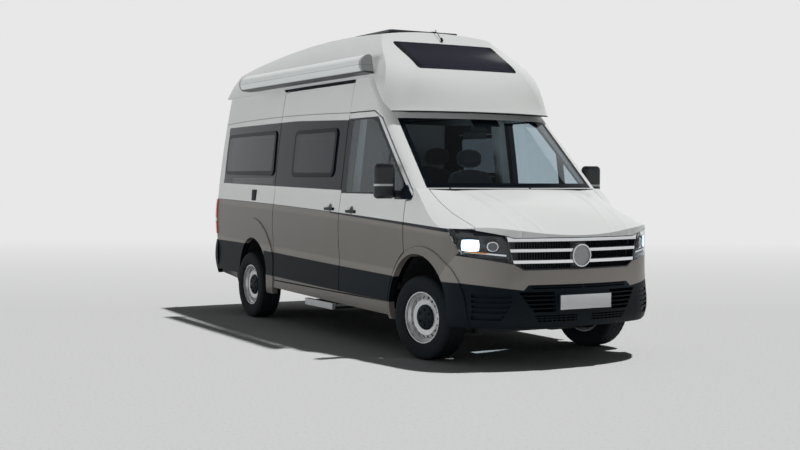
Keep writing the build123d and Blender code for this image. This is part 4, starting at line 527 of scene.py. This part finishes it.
MAT = {
    "side": coachwork("paint_side", cladding=True, band=True, rail=True, rear_black=True,
                      vent=True, crease=True),
    "slider": coachwork("paint_slider", cladding=True, band=True, crease=True,
                        handles=[(2.623, 1.233)]),
    "door": coachwork("paint_door", cladding=True, door_frame=True, handles=[(2.173, 1.218)]),
    "wing": coachwork("paint_wing", cladding=True, beige=LIT_WING_BEIGE),
    "bonnet": coachwork("paint_bonnet", two_tone=False, ridges=True),
    "roof": coachwork("paint_roof", two_tone=False),
    "cap": coachwork("paint_cap", two_tone=False, shaded_lip=True),
    "bumper": coachwork("paint_bumper", black_below=0.638, beige=LIT_BUMPER_BEIGE),
    "tail": coachwork("paint_tail", rear_black=True),
    "sill": coachwork("paint_sill", sill=True),
    "screen": glass("windscreen_glass", (0.8, 0.85, 0.88), border=screen_border),
    "window": glass("cab_glass", (0.82, 0.87, 0.89), solid=0.03),
    "privacy": glass("privacy_glass", (0.3, 0.33, 0.35), border=window_border),
    "lens": glass("lamp_lens", (0.94, 0.96, 0.98)),
    "tail_lens": red_lens(),
    "roof_pane": roof_pane(),
    "grille": grille_finish(),
    "awning": awning_case(),
    "mirror_shell": mirror_shell(),
    "plastic": plain("grained_plastic", PLASTIC, 0.55, 0.25, 20, 0.35, Specular_IOR_Level=0.2),
    "chassis": plain("chassis_paint", (0.012, 0.013, 0.015), 0.6, 0.35, 12, 0.3, 200),
    "cast": plain("cast_iron", (0.13, 0.12, 0.11), 0.55, 0.25, 25, 0.5, 300, Metallic=0.7),
    "engine": plain("engine_casting", (0.25, 0.25, 0.26), 0.5, 0.2, 15, 0.4, 200, Metallic=0.8),
    "rim": plain("silver_wheel", (0.56, 0.57, 0.58), 0.3, 0.05, 10, 0.05, 900,
                 Metallic=0.55, Coat_Weight=0.4),
    "tyre": plain("tyre_rubber", (0.0075, 0.01, 0.0125), 0.8, 0.25, 30, 0.3, 500,
                  Specular_IOR_Level=0.2),
    "step": plain("ribbed_aluminium", (0.45, 0.46, 0.47), 0.35, 0.08, 20, 0.2, 400, Metallic=0.9),
    "tank": plain("tank_plastic", (0.03, 0.03, 0.032), 0.6, 0.2, 10, 0.2, 300),
    "cab": plain("cab_plastic", (0.022, 0.023, 0.026), 0.6, 0.2, 10, 0.3, 900),
    "cloth": plain("seat_cloth", (0.05, 0.052, 0.056), 0.9, 0.25, 60, 0.6, 1500, Sheen_Weight=0.4),
    "light_cloth": plain("mattress_cloth", (0.52, 0.5, 0.47), 0.9, 0.08, 60, 0.6, 1500,
                         Sheen_Weight=0.3),
    "furniture": plain("laminate", (0.5, 0.47, 0.42), 0.45, 0.1, 3, 0.1, 300),
    "white_plastic": plain("white_plastic", (0.72, 0.72, 0.7), 0.35, 0.02, 5, 0.05, 700),
    "smoked": plain("smoked_acrylic", (0.02, 0.024, 0.028), 0.22, 0.1, 6),
    "chrome": plain("chrome", (0.78, 0.8, 0.82), 0.1, 0.03, 10, Metallic=1),
    "plate": plain("blank_plate", (0.62, 0.63, 0.65), 0.35, 0.03, 14, 0.05, 900),
    "bowl": plain("lamp_bowl", (0.02, 0.022, 0.026), 0.25, 0.15, 20, Metallic=0.3),
    "led": plain("lamp_led", (0.7, 0.8, 0.9), 0.3, 0.02, 30,
                 Emission_Color=(0.62, 0.82, 1), Emission_Strength=2.6),
    "projector": plain("lamp_eye", (0.05, 0.055, 0.06), 0.04, 0.1, 20, Coat_Weight=1),
    # Partly painted shade: a brake disc whose near-black colour stands for the shade inside the
    # wheel.
    "brake": plain("shaded_brake_disc", (0.01, 0.011, 0.013), 0.5, 0.3, 30, 0.3, 300, Metallic=0.4),
    # Painted shade: near-black finish of the sheet that stands for the dark space behind openings.
    "void": plain("shade_backing", (0.0015, 0.002, 0.003), 0.8, 0.2, 30, Specular_IOR_Level=0.05),
    "screen_black": plain("display_glass", (0.006, 0.007, 0.009), 0.12, 0.2, 6),
    "mirror": plain("mirror_glass", (0.75, 0.77, 0.79), 0.03, 0.01, 10, Metallic=1),
    "amber": plain("amber_lens", (0.75, 0.22, 0.02), 0.2, 0.08, 20),
}
FINISH = {
    "side": "side_panel_left side_panel_right",
    "slider": "sliding_door",
    "door": "front_door_left front_door_right",
    "wing": "front_wings",
    "bonnet": "bonnet",
    "roof": "cab_frame",
    "cap": "roof_cap",
    "bumper": "front_bumper",
    "tail": "rear_frame rear_door_left rear_door_right",
    "sill": "sills",
    "plastic": "rear_bumper scuttle wipers step_housing roof_hatch_frame",
    "chassis": "floor_pan front_suspension rear_axle",
    "engine": "engine_block",
    "cast": "knuckle_left knuckle_right",
    "step": "entry_step",
    "tank": "underfloor_tanks",
    "cab": "dashboard steering_wheel seat_bases",
    "furniture": "kitchen_and_bench_base bed_base",
    "white_plastic": "wet_room",
    "smoked": "roof_hatch_lid",
    "screen": "windscreen",
    "window": "door_glass_left door_glass_right",
    "privacy": "side_windows rear_glass_left rear_glass_right",
    "rim": "rim_front_left rim_front_right rim_rear_left rim_rear_right",
    "tail_lens": "tail_lamps",
    "roof_pane": "roof_window",
    "grille": "grille",
    "awning": "awning",
    "mirror_shell": "mirror_left mirror_right",
}


for finish, nodes in FINISH.items():
    for node in nodes.split():
        if not NODES[node].material_slots:
            NODES[node].data.materials.append(MAT[finish])
        for slot in NODES[node].material_slots:
            slot.material = MAT[finish]


# ---------- mesh helpers
def linked(name, data):
    """Object with some data, in the scene."""
    item = bpy.data.objects.new(name, data)
    bpy.context.scene.collection.objects.link(item)
    return item


def finished(name, mesh, finish, smooth=True):
    """Object from a mesh, with a finish of the table and its shading."""
    for polygon in mesh.polygons:
        polygon.use_smooth = smooth
    mesh.materials.append(MAT[finish])
    return linked(name, mesh)


def mesh_piece(name, points, faces, finish, smooth=True):
    """New object from points and faces."""
    mesh = bpy.data.meshes.new(name)
    mesh.from_pydata(points, [], faces)
    mesh.update()
    return finished(name, mesh, finish, smooth)


def mesh_of(name, shape):
    """Mesh from a bmesh, which is used up."""
    mesh = bpy.data.meshes.new(name)
    shape.to_mesh(mesh)
    shape.free()
    return mesh


def placed(name, shape, centre, turn, finish):
    """Smooth object from a bmesh, turned by a matrix and moved to a centre."""
    if turn is not None:
        bmesh.ops.transform(shape, matrix=turn.to_4x4(), verts=shape.verts)
    bmesh.ops.translate(shape, vec=centre, verts=shape.verts)
    return finished(name, mesh_of(name, shape), finish)


def rounded_box(name, centre, size, radius, finish, turn=None):
    """Box with rounded edges."""
    shape = bmesh.new()
    bmesh.ops.create_cube(shape, size=1)
    bmesh.ops.scale(shape, vec=size, verts=shape.verts)
    bmesh.ops.bevel(shape, geom=list(shape.edges), offset=min(radius, min(size) * 0.49),
                    segments=3, affect="EDGES", profile=0.5)
    return placed(name, shape, centre, turn, finish)


def turned(name, profile, steps, matrix, finish, depth=None):
    """Surface of revolution about local X from (x, radius); depth(row, step) lowers a point."""
    points, faces = [], []
    count = len(profile)
    for step in range(steps):
        angle = 2 * math.pi * step / steps
        for row, (along, radius) in enumerate(profile):
            reach = radius - (depth(row, step) if depth else 0)
            place = (along, reach * math.cos(angle), reach * math.sin(angle))
            points.append(matrix @ Vector(place))
    for step in range(steps):
        here, there = step * count, (step + 1) % steps * count
        for row in range(count - 1):
            faces.append((here + row, here + row + 1, there + row + 1, there + row))
    return mesh_piece(name, points, faces, finish)


def slab(rows, columns, place):
    """Points and faces of a thin closed sheet; place(row, column, layer) gives each point."""
    across = columns + 1
    layer_size = (rows + 1) * across
    points = [place(row, column, layer) for layer in (0, 1)
              for row in range(rows + 1) for column in range(columns + 1)]
    faces = []
    for layer in (0, 1):
        for row in range(rows):
            for column in range(columns):
                corner = layer * layer_size + row * across + column
                faces.append((corner, corner + 1, corner + 1 + across, corner + across))
    rim = ([(0, column) for column in range(columns)] + [(row, columns) for row in range(rows)]
           + [(rows, column) for column in range(columns, 0, -1)]
           + [(row, 0) for row in range(rows, 0, -1)])
    rim = [row * across + column for row, column in rim]
    for first, second in zip(rim, rim[1:] + rim[:1]):
        faces.append((first, second, second + layer_size, first + layer_size))
    return points, faces


def lattice(name, bars, finish):
    """Many thin bars as one mesh, each from its centre and its size in x, y and z."""
    points, faces = [], []
    for centre, size in bars:
        base = len(points)
        for dx in (-0.5, 0.5):
            for dy in (-0.5, 0.5):
                for dz in (-0.5, 0.5):
                    points.append((centre[0] + dx * size[0], centre[1] + dy * size[1],
                                   centre[2] + dz * size[2]))
        for quad in ((0, 1, 3, 2), (4, 6, 7, 5), (0, 4, 5, 1), (2, 3, 7, 6), (0, 2, 6, 4),
                     (1, 5, 7, 3)):
            faces.append(tuple(base + corner for corner in quad))
    return mesh_piece(name, points, faces, finish, smooth=False)


def tube(name, points, radius, finish, closed=False, smooth=False):
    """Round bar along a line of points."""
    curve = bpy.data.curves.new(name, "CURVE")
    curve.dimensions = "3D"
    curve.bevel_depth = radius
    curve.bevel_resolution = 3
    spline = curve.splines.new("NURBS" if smooth else "POLY")
    spline.points.add(len(points) - 1)
    for target, point in zip(spline.points, points):
        target.co = (*point, 1)
    if smooth:
        spline.order_u = 3
        spline.use_endpoint_u = True
    spline.use_cyclic_u = closed
    bar = linked(name, curve)
    bpy.context.view_layer.update()
    graph = bpy.context.evaluated_depsgraph_get()
    mesh = bpy.data.meshes.new_from_object(bar.evaluated_get(graph))
    bpy.data.objects.remove(bar)
    mesh.materials.clear()
    return finished(name, mesh, finish)


def join(name, finish, *pieces):
    """One smooth object from several of the same finish."""
    shape = bmesh.new()
    for piece in pieces:
        shape.from_mesh(piece.data)
        bpy.data.objects.remove(piece)
    return finished(name, mesh_of(name, shape), finish)


def add(piece, body=VAN):
    """Fix a new piece to a body."""
    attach(piece, body)


def about(axis, degrees):
    """Turn about an axis."""
    return Matrix.Rotation(math.radians(degrees), 3, axis)


# ---------- places on the frame
TREES = {}


def skin(node, start, direction):
    """First point of a CAD node's faces met from a place in a direction, or None."""
    if node not in TREES:
        mesh = NODES[node].data
        TREES[node] = BVHTree.FromPolygons([vertex.co for vertex in mesh.vertices],
                                           [polygon.vertices for polygon in mesh.polygons])
    return TREES[node].ray_cast(Vector(start), Vector(direction))[0]


def front_skin(node, x, z):
    """Y of a node's foremost surface at a place seen from the front, or None."""
    hit = skin(node, (x, -4, z), (0, 1, 0))
    return None if hit is None else hit.y


# ---------- tyres and wheel trim
TYRE_R = 0.356
RIM_R = 0.212
TREAD_STEPS = 320
GROOVE_DEPTH = 0.0075
SLIT_DEPTH = 0.0045
SHOULDER_DEPTH = 0.0035
SHOULDER_ROWS = 3
CROWN_BOW = 0.35
BOLT_CIRCLE = 0.066
# Centre, steering angle at rest in degrees, and side of each wheel.
WHEELS = {
    "front_left": ((0.8654, -1.9714, TYRE_R), 10, 1),
    "front_right": ((-0.8654, -2.0086, TYRE_R), 10, -1),
    "rear_left": ((0.872, 1.65, TYRE_R), 0, 1),
    "rear_right": ((-0.872, 1.65, TYRE_R), 0, -1),
}
# Profiles run over (distance outward from the wheel's middle plane, radius).
TYRE_SIDE = [(0.0945, RIM_R - 0.003), (0.1005, RIM_R + 0.006), (0.1085, RIM_R + 0.016),
             (0.112, RIM_R + 0.019), (0.114, RIM_R + 0.026), (0.1165, RIM_R + 0.05),
             (0.117, RIM_R + 0.078), (0.1168, RIM_R + 0.096), (0.114, RIM_R + 0.113),
             (0.1085, RIM_R + 0.127), (0.1, TYRE_R - 0.0095), (0.094, TYRE_R - 0.0062)]
RIBS = [-0.088, -0.062, -0.058, -0.034, -0.03, -0.004, 0, 0.026, 0.03, 0.056, 0.06, 0.086]
GROOVES = {1, 2, 5, 6, 9, 10}
TYRE = ([(-along, radius) for along, radius in TYRE_SIDE]
        + [(place, TYRE_R - 0.0004 - CROWN_BOW * place * place) for place in RIBS]
        + TYRE_SIDE[::-1])
HUB_CAP = [(0.045, 0.107), (0.062, 0.107), (0.07, 0.1), (0.074, 0.08), (0.075, 0.044),
           (0.081, 0.034), (0.082, 0.004), (0.082, 0)]
BRAKE_DISC = [(0.03, 0.1), (0.03, 0.15), (0.03, 0.188), (0.014, 0.188), (0.014, 0.1), (0.03, 0.1)]
BOLT = [(0.07, 0.0115), (0.081, 0.0115), (0.084, 0.009), (0.084, 0)]


def tread_depth(row, step):
    """Depth of the grooves round the tyre and of the slits across its ribs and shoulders."""
    place = row - len(TYRE_SIDE)
    if 0 <= place < len(RIBS):
        if place in GROOVES:
            return GROOVE_DEPTH
        shift = place // 2 * 2
        return SLIT_DEPTH if (step + shift) % 8 == 0 else 0
    on_shoulder = -SHOULDER_ROWS <= place < len(RIBS) + SHOULDER_ROWS
    return SHOULDER_DEPTH if on_shoulder and step % 8 in (0, 1) else 0


for wheel, (centre, steer, side) in WHEELS.items():
    body = "wheel_" + wheel
    placing = (Matrix.Translation(centre) @ about("Z", steer).to_4x4()
               @ Matrix.Scale(side, 4, (1, 0, 0)))
    tyre = turned("tyre_cover_" + wheel, TYRE, TREAD_STEPS, placing, "tyre", tread_depth)
    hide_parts("tyre_" + wheel)
    add(tyre, body)
    add(turned("hub_cap_" + wheel, HUB_CAP, 48, placing, "plastic"), body)
    # Brake disc behind the rim, whose near-black colour is painted shade seen through the rim's
    # holes.
    add(turned("shaded_brake_disc_" + wheel, BRAKE_DISC, 64, placing, "brake"), body)
    for index in range(6):
        angle = math.radians(60 * index + 30)
        spot = placing @ Matrix.Translation((0, BOLT_CIRCLE * math.cos(angle),
                                             BOLT_CIRCLE * math.sin(angle)))
        bolt = turned(f"bolt_{wheel}_{index}", BOLT, 12, spot, "plastic")
        add(bolt, body)


# ---------- headlamps
def square_outline(centre, half):
    """Grid places of a square with softened corners."""
    def outline(u, v):
        a, b = 2 * u - 1, 2 * v - 1
        pull = 1 - 0.077 * a * a * b * b
        return centre[0] + half * a * pull, centre[1] + half * b * pull
    return outline


def round_outline(centre, radius):
    """Grid places of a disc."""
    def outline(u, v):
        a, b = 2 * u - 1, 2 * v - 1
        return (centre[0] + radius * a * math.sqrt(1 - b * b / 2),
                centre[1] + radius * b * math.sqrt(1 - a * a / 2))
    return outline


def bar_outline(start, run, height):
    """Grid places of a slanting bar."""
    def outline(u, v):
        return start[0] + run[0] * u, start[1] + run[1] * u + height * v
    return outline


LENS_EDGE = 0.93
LENS_SKIN = 0.0015
BOWL_OPENING = 0.045
PATCH_STEPS = 14
PROJECTOR, PROJECTOR_R = (0.757, 0.983), 0.042
# Name, front-view outline, depth behind the lens, finish and thickness.
LAMP_PARTS = [
    ("led", square_outline((0.891, 0.991), 0.046), 0.014, "led", 0.012),
    ("ring", round_outline(PROJECTOR, PROJECTOR_R), 0.02, "chrome", 0.012),
    ("eye", round_outline(PROJECTOR, PROJECTOR_R * 0.78), 0.014, "projector", 0.012),
    ("strip", bar_outline((0.66, 0.905), (0.27, 0.028), 0.014), 0.012, "chrome", 0.004),
    ("amber", bar_outline((0.8, 0.924), (0.12, 0.012), 0.011), 0.012, "amber", 0.004),
]


def lamp_shell():
    """CAD headlamps with their split edges joined, a clear lens and an open dark bowl."""
    shape = bmesh.new()
    shape.from_mesh(NODES["headlamps"].data)
    bmesh.ops.remove_doubles(shape, verts=shape.verts, dist=0.00002)
    mesh = mesh_of("lamp_shell", shape)
    shape = bmesh.new()
    shape.from_mesh(mesh)
    opened = []
    for face in shape.faces:
        face.material_index = 0
        centre = face.calc_center_median()
        front = front_skin("headlamps", centre.x, centre.z)
        if front is None:
            continue
        deep, facing = centre.y - front, -face.normal.y
        if deep < LENS_SKIN and facing > 0.12:
            face.material_index = 1
        elif deep < BOWL_OPENING and facing < -0.1:
            opened.append(face)
    bmesh.ops.delete(shape, geom=opened, context="FACES")
    shape.to_mesh(mesh)
    shape.free()
    shell = finished("lamp_shell", mesh, "bowl")
    mesh.materials.append(MAT["lens"])
    return shell


def lamp_patch(name, side, outline, depth, finish, thick):
    """Sheet that follows the lamp's lens a little behind it."""
    def place(row, column, layer):
        x, z = outline(column / PATCH_STEPS, row / PATCH_STEPS)
        y = front_skin("headlamps", side * x, z)
        if y is None:
            y = front_skin("headlamps", side * min(x, LENS_EDGE), z)
        return side * x, y + depth + layer * thick, z

    return mesh_piece(name, *slab(PATCH_STEPS, PATCH_STEPS, place), finish)


def headlamps():
    """Lamp shells with a glowing square unit, a projector and bright trim in each."""
    shell = lamp_shell()
    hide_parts("headlamps")
    add(shell)
    for side, word in SIDES:
        for part, outline, depth, finish, thick in LAMP_PARTS:
            name = f"lamp_{part}_{word}"
            add(lamp_patch(name, side, outline, depth, finish, thick))


# ---------- grille, bumper and plate
GRILLE_ROWS = ((0.878, 0.935), (0.968, 1.018), (0.806, 0.844))
GRILLE_PITCH = 0.0235
SLAT_Z = 0.449
UPRIGHT_PITCH = 0.043
PLATE_CENTRE = (0.011, -2.9944, 0.5355)


def grille_mesh():
    """Upright divisions between the grille's bars."""
    bars = []
    for low, high in GRILLE_ROWS:
        middle = (low + high) / 2
        for index in range(-24, 25):
            x = index * GRILLE_PITCH
            behind_boss = abs(x) < 0.09 and low < 0.99
            past_end = abs(x) > 0.535 + (low - 0.8) * 0.3
            y = None if behind_boss or past_end else front_skin("grille", x, middle)
            if y is not None:
                bars.append(((x, y - 0.008, middle), (0.0035, 0.018, high - low)))
    add(lattice("grille_mesh", bars, "plastic"))


def plate():
    """Blank pressed plate in a dark holder on the bumper."""
    x, face, z = PLATE_CENTRE
    add(rounded_box("plate_holder", (x, face + 0.013, z), (0.532, 0.02, 0.133), 0.006,
                    "plastic"))
    sheet = rounded_box("plate_blank", PLATE_CENTRE, (0.512, 0.0014, 0.116), 0.0003, "plate")
    corners = [(x + 0.252 * across, face - 0.0002, z + 0.054 * up) for across, up in CORNERS]
    rim = tube("plate_rim", corners, 0.0012, "plate", closed=True)
    add(join("plate_front", "plate", sheet, rim))


def bumper_backing():
    """Near-black sheet behind the bumper's openings, painted shade for the dark space there, and
    the lowest opening's uprights.
    """
    columns = 48

    def place(row, column, layer):
        x = -0.6 + 1.2 * column / columns
        y = front_skin("front_bumper", x, SLAT_Z)
        return x, y + 0.06 + 0.004 * layer, 0.368 + 0.32 * row

    panel = mesh_piece("bumper_backing", *slab(1, columns, place), "void", smooth=False)
    add(panel)
    uprights = []
    for index in [*range(-10, -1), *range(2, 11)]:
        x = index * UPRIGHT_PITCH
        y = front_skin("front_bumper", x, SLAT_Z)
        uprights.append(((x, y + 0.03, 0.409), (0.006, 0.03, 0.054)))
    add(lattice("bumper_uprights", uprights, "plastic"))


# ---------- seats and bed
SEAT_LEAN = about("X", -7.5)
SIDE_SEAMS = ((-0.55, 0.05), (0.55, 0.05))
BED_SEAMS = ((-0.5, 0.02), (0, 0.02), (0.5, 0.02))
SEAM_DEPTH = 0.1


def cushion(name, centre, size, finish, turn=None, crown=0.1, channels=(), pull=0.035,
            square=7, cuts=18):
    """Stuffed cushion with crowned faces, sides pulled in between the corners and sewn channels.

    A channel is its place across X, from -1 to 1, and its width; a higher square is boxier.
    """
    shape = bmesh.new()
    bmesh.ops.create_cube(shape, size=2)
    bmesh.ops.subdivide_edges(shape, edges=shape.edges, cuts=cuts, use_grid_fill=True)
    half = [value / 2 for value in size]
    for vert in shape.verts:
        x, y, z = vert.co
        reach = (abs(x) ** square + abs(y) ** square + abs(z) ** square) ** (1 / square)
        x, y, z = x / reach, y / reach, z / reach
        x *= 1 - pull * (1 - y * y)
        y *= 1 - pull * (1 - x * x)
        dome = (1 - x * x) * (1 - y * y)
        press = sum(math.exp(-((x - place) / width) ** 2) for place, width in channels)
        wrinkle = 0.006 * math.sin(9 * x + 4 * y) * math.cos(7 * y - 3 * x)
        z *= 1 - crown + crown * dome - SEAM_DEPTH * press * dome + wrinkle
        vert.co = (x * half[0], y * half[1], z * half[2])
    return placed(name, shape, centre, turn, finish)


def seat_group(node, x, station, base, width, places):
    """Seat cushion, backrest and one headrest a place, standing for a CAD seat."""
    y = at(station)
    soft = [cushion(node + "_pad", (x, y + 0.315, base + 0.082), (width, 0.6, 0.16), "cloth",
                    crown=0.16, channels=SIDE_SEAMS),
            cushion(node + "_back", (x, y + 0.61, base + 0.42), (width * 0.97, 0.13, 0.56),
                    "cloth", turn=SEAT_LEAN, crown=0.12, channels=SIDE_SEAMS, square=6)]
    for index, offset in enumerate(places):
        soft.append(cushion(f"{node}_headrest_{index}", (x + offset, y + 0.652, base + 0.805),
                            (0.27, 0.105, 0.185), "cloth", turn=SEAT_LEAN, crown=0.25,
                            square=3.6, cuts=12))
        posts = []
        for post in (-0.06, 0.06):
            post_x = x + offset + post
            posts.append(tube(f"post_{index}_{post}", [(post_x, y + 0.64, base + 0.66),
                                                       (post_x, y + 0.65, base + 0.74)],
                              0.006, "chrome"))
        add(join(f"{node}_posts_{index}", "chrome", *posts))
    for piece in soft:
        add(piece)
    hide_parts(node)


def soft_goods():
    """Cab seats, bench and bed."""
    seat_group("driver_seat", 0.43, 1.76, 0.9203, 0.5, (0,))
    seat_group("passenger_seat", -0.43, 1.76, 0.9203, 0.5, (0,))
    seat_group("bench_seat", 0.43, 2.7, 0.9603, 0.8, (-0.2, 0.2))
    bed = cushion("mattress_pad", (0, at(5.06), 1.2605), (1.615, 1.375, 0.138),
                  "light_cloth", crown=0.12, channels=BED_SEAMS, pull=0.01, square=14,
                  cuts=30)
    add(bed)
    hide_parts("mattress")


# ---------- cab and outside trim
def dash_top():
    """Hood of the dashboard, raised over the instruments, and the screen in its middle."""
    columns, half_width = 48, 0.76
    outline = [(-1.79, 1.335), (-1.76, 1.392), (-1.66, 1.432), (-1.52, 1.446),
               (-1.44, 1.432), (-1.395, 1.395), (-1.38, 1.345)]
    rows = len(outline)
    points, faces = [], []
    for column in range(columns + 1):
        x = half_width * (2 * column / columns - 1)
        share = x / half_width
        swell = 0.03 * math.exp(-((x - 0.43) / 0.17) ** 2) - 0.02 * share ** 4
        for row, (y, z) in enumerate(outline):
            arch = math.sin(math.pi * row / (rows - 1))
            points.append((x, y + 0.02 * share ** 2, z + swell * arch))
    for column in range(columns):
        here, there = column * rows, (column + 1) * rows
        for row in range(rows - 1):
            faces.append((here + row, here + row + 1, there + row + 1, there + row))
        faces.append((here, there, there + rows - 1, here + rows - 1))
    faces.append(tuple(range(rows)))
    faces.append(tuple(columns * rows + row for row in reversed(range(rows))))
    add(mesh_piece("dash_top", points, faces, "cab"))
    add(rounded_box("dash_screen", (0, -1.372, 1.385), (0.27, 0.02, 0.16), 0.006,
                    "screen_black", about("X", -12)))


def cab_details():
    """Sensor housing and inside mirror at the top of the screen."""
    add(rounded_box("screen_sensor", (0, -1.405, 1.985), (0.15, 0.05, 0.07), 0.015,
                    "cab", about("X", -42)))
    housing = rounded_box("inside_mirror", (0, -1.345, 1.925), (0.24, 0.022, 0.066), 0.01,
                          "cab", about("X", 8))
    stem = tube("mirror_stem", [(0, -1.352, 1.945), (0, -1.375, 1.975)], 0.008, "cab")
    add(join("inside_mirror_unit", "cab", housing, stem))


def outside_mirror_glass():
    """Mirror glass in the rear of each housing."""
    for side, word in SIDES:
        y = skin("mirror_" + word, (side * 1.12, 0, 1.51), (0, -1, 0)).y
        pane = rounded_box("mirror_glass_" + word, (side * 1.125, y + 0.002, 1.512),
                           (0.135, 0.006, 0.225), 0.003, "mirror")
        add(pane, "cab_door_" + word)


def side_details():
    """Service flap on the right side."""
    x = skin("side_panel_right", (-2, 1.612, 1.335), (1, 0, 0)).x
    add(rounded_box("side_flap", (x - 0.001, 1.612, 1.338), (0.016, 0.115, 0.12), 0.004,
                    "plastic", about("Y", 3)))


def antenna():
    """Rod of the roof antenna on its foot, cut short at the top of the CAD box."""
    foot = tube("antenna_foot", [(0, at(2.236), 2.846), (0, at(2.247), 2.866),
                                 (0, at(2.253), 2.874)], 0.012, "plastic")
    rod = tube("antenna_rod", [(0, at(2.245), 2.857), (0, at(2.367), 2.968)], 0.0032, "plastic")
    add(join("antenna", "plastic", foot, rod))


def rear_details():
    """Handle on the right rear door."""
    x = -0.085
    y = skin("rear_door_right", (x, 4, 1.06), (0, -1, 0)).y
    base = rounded_box("rear_handle_base", (x, y + 0.002, 1.06), (0.11, 0.01, 0.15), 0.004,
                       "plastic")
    grip = tube("rear_handle_grip", [(x, y + 0.004, 1.12), (x, y + 0.026, 1.1),
                                     (x, y + 0.026, 1.02), (x, y + 0.004, 1.0)], 0.009,
                "plastic", smooth=True)
    add(join("rear_handle", "plastic", base, grip), "back_door_right")


headlamps()
grille_mesh()
plate()
bumper_backing()
side_details()
antenna()
rear_details()
dash_top()
soft_goods()
cab_details()
outside_mirror_glass()


# ---------- floor, wall, camera and lights
BACKDROP = 0.805
FLOOR_SIZE = 90
FLOOR_GREY = (0.568, 0.573, 0.568)
FLOOR_PIT = (0.46, 0.465, 0.46)
WALL_STEPS = 96
WALL_RADIUS = 70
WALL_LOW = 13
WALL_HIGH = 60
CAMERA_PLACE = (-6.1963, -10.8611, 1.5094)
CAMERA_YAW = math.radians(29.596)
CAMERA_DROP = math.radians(2.097)
CAMERA_ROLL = math.radians(0.255)
CAMERA_LENS = 55.17
SKY_COLOUR = (0.95, 0.98, 1, 1)
SKY_STRENGTH = 0.1
SUN_STRENGTH = 3.25
SUN_PLACE = (3.1, -0.3, 9.5)
FILL_WATTS = 1000
FILL_PLACE = (-16, -5, 2)
FILL_TARGET = (0, 0, 1.4)


def backdrop_glow(g):
    """Even light of the wall, which the far floor takes too."""
    return g.node("Emission", Color=(BACKDROP, BACKDROP, BACKDROP))


def stage_floor():
    """Pale studio floor that fades into the backdrop far behind the van."""
    g = Graph("studio_floor")
    MAT["floor"] = g.material
    g.tree.nodes.remove(g.shader)
    grain = g.plus(g.times(g.noise(38, 6), 0.6), g.times(g.noise(160, 4), 0.4))
    diffuse = g.node("BsdfDiffuse", Color=g.mix(g.above(grain, 0.6, 0.05), FLOOR_GREY, FLOOR_PIT))
    along = g.plus(g.times(g.x, math.sin(CAMERA_YAW)), g.times(g.y, math.cos(CAMERA_YAW)))
    behind = g.math("MULTIPLY_ADD", along, 1 / 16, -0.1, clamp=True)
    far = g.math("MULTIPLY_ADD", g.reach(g.x, g.y), 1 / 22, -0.8, clamp=True)
    g.show(g.mix_shaders(g.either(behind, far), diffuse, backdrop_glow(g)))
    corners = [(x * FLOOR_SIZE, y * FLOOR_SIZE, 0) for x, y in CORNERS]
    floor = mesh_piece("studio_floor", corners, [(0, 1, 2, 3)], "floor", smooth=False)
    return floor


def stage_backdrop():
    """Even pale wall all round, higher behind the van, seen by the camera and in reflections."""
    g = Graph("studio_wall")
    MAT["wall"] = g.material
    g.show(backdrop_glow(g))
    points, faces = [], []
    for step in range(WALL_STEPS):
        angle = 2 * math.pi * step / WALL_STEPS
        rise = max(0, min(1, 0.5 + 3 * (math.cos(angle) + 0.2)))
        bearing = angle + CAMERA_YAW
        place = (WALL_RADIUS * math.sin(bearing), WALL_RADIUS * math.cos(bearing))
        points += [(*place, 0), (*place, WALL_LOW + (WALL_HIGH - WALL_LOW) * rise)]
        here, there = 2 * step, 2 * ((step + 1) % WALL_STEPS)
        faces.append((here, there, there + 1, here + 1))
    wall = mesh_piece("studio_wall", points, faces, "wall", smooth=False)
    wall.visible_diffuse = False
    wall.visible_shadow = False


def place_camera():
    """Camera at the place recovered from the photograph, with its lens."""
    data = bpy.data.cameras.new("camera")
    data.sensor_width = 36
    data.lens = CAMERA_LENS
    data.clip_end = 300
    camera = linked("camera", data)
    level = math.cos(CAMERA_DROP)
    ahead = Vector((math.sin(CAMERA_YAW) * level, math.cos(CAMERA_YAW) * level,
                    -math.sin(CAMERA_DROP)))
    turn = (ahead.to_track_quat("-Z", "Y").to_matrix().to_4x4()
            @ Matrix.Rotation(CAMERA_ROLL, 4, "Z"))
    camera.matrix_world = Matrix.Translation(CAMERA_PLACE) @ turn
    bpy.context.scene.camera = camera


def lamp(name, kind, energy, place, target):
    """Light aimed at a point and not seen in reflections."""
    data = bpy.data.lights.new(name, kind)
    data.energy = energy
    light = linked(name, data)
    aim = Vector(target) - Vector(place)
    light.rotation_euler = aim.to_track_quat("-Z", "Y").to_euler()
    light.location = place
    light.visible_glossy = False
    return light


world = bpy.data.worlds.new("studio")
bpy.context.scene.world = world
world.use_nodes = True
sky = world.node_tree.nodes["Background"]
sky.inputs[0].default_value = SKY_COLOUR
sky.inputs[1].default_value = SKY_STRENGTH
studio_floor = stage_floor()
stage_backdrop()
place_camera()

sun = lamp("sun", "SUN", SUN_STRENGTH, SUN_PLACE, (0, 0, 0))
sun.data.angle = math.radians(2)
fill = lamp("side_fill", "AREA", FILL_WATTS, FILL_PLACE, FILL_TARGET)
fill.data.color = (0.96, 0.98, 1)
fill.data.shape = "RECTANGLE"
fill.data.size = 14
fill.data.size_y = 3.4
unlit = bpy.data.collections.new("not_lit_by_fill")
unlit.objects.link(studio_floor)
unlit.collection_objects[0].light_linking.link_state = "EXCLUDE"
fill.light_linking.receiver_collection = unlit
bpy.context.scene.view_settings.view_transform = "Standard"
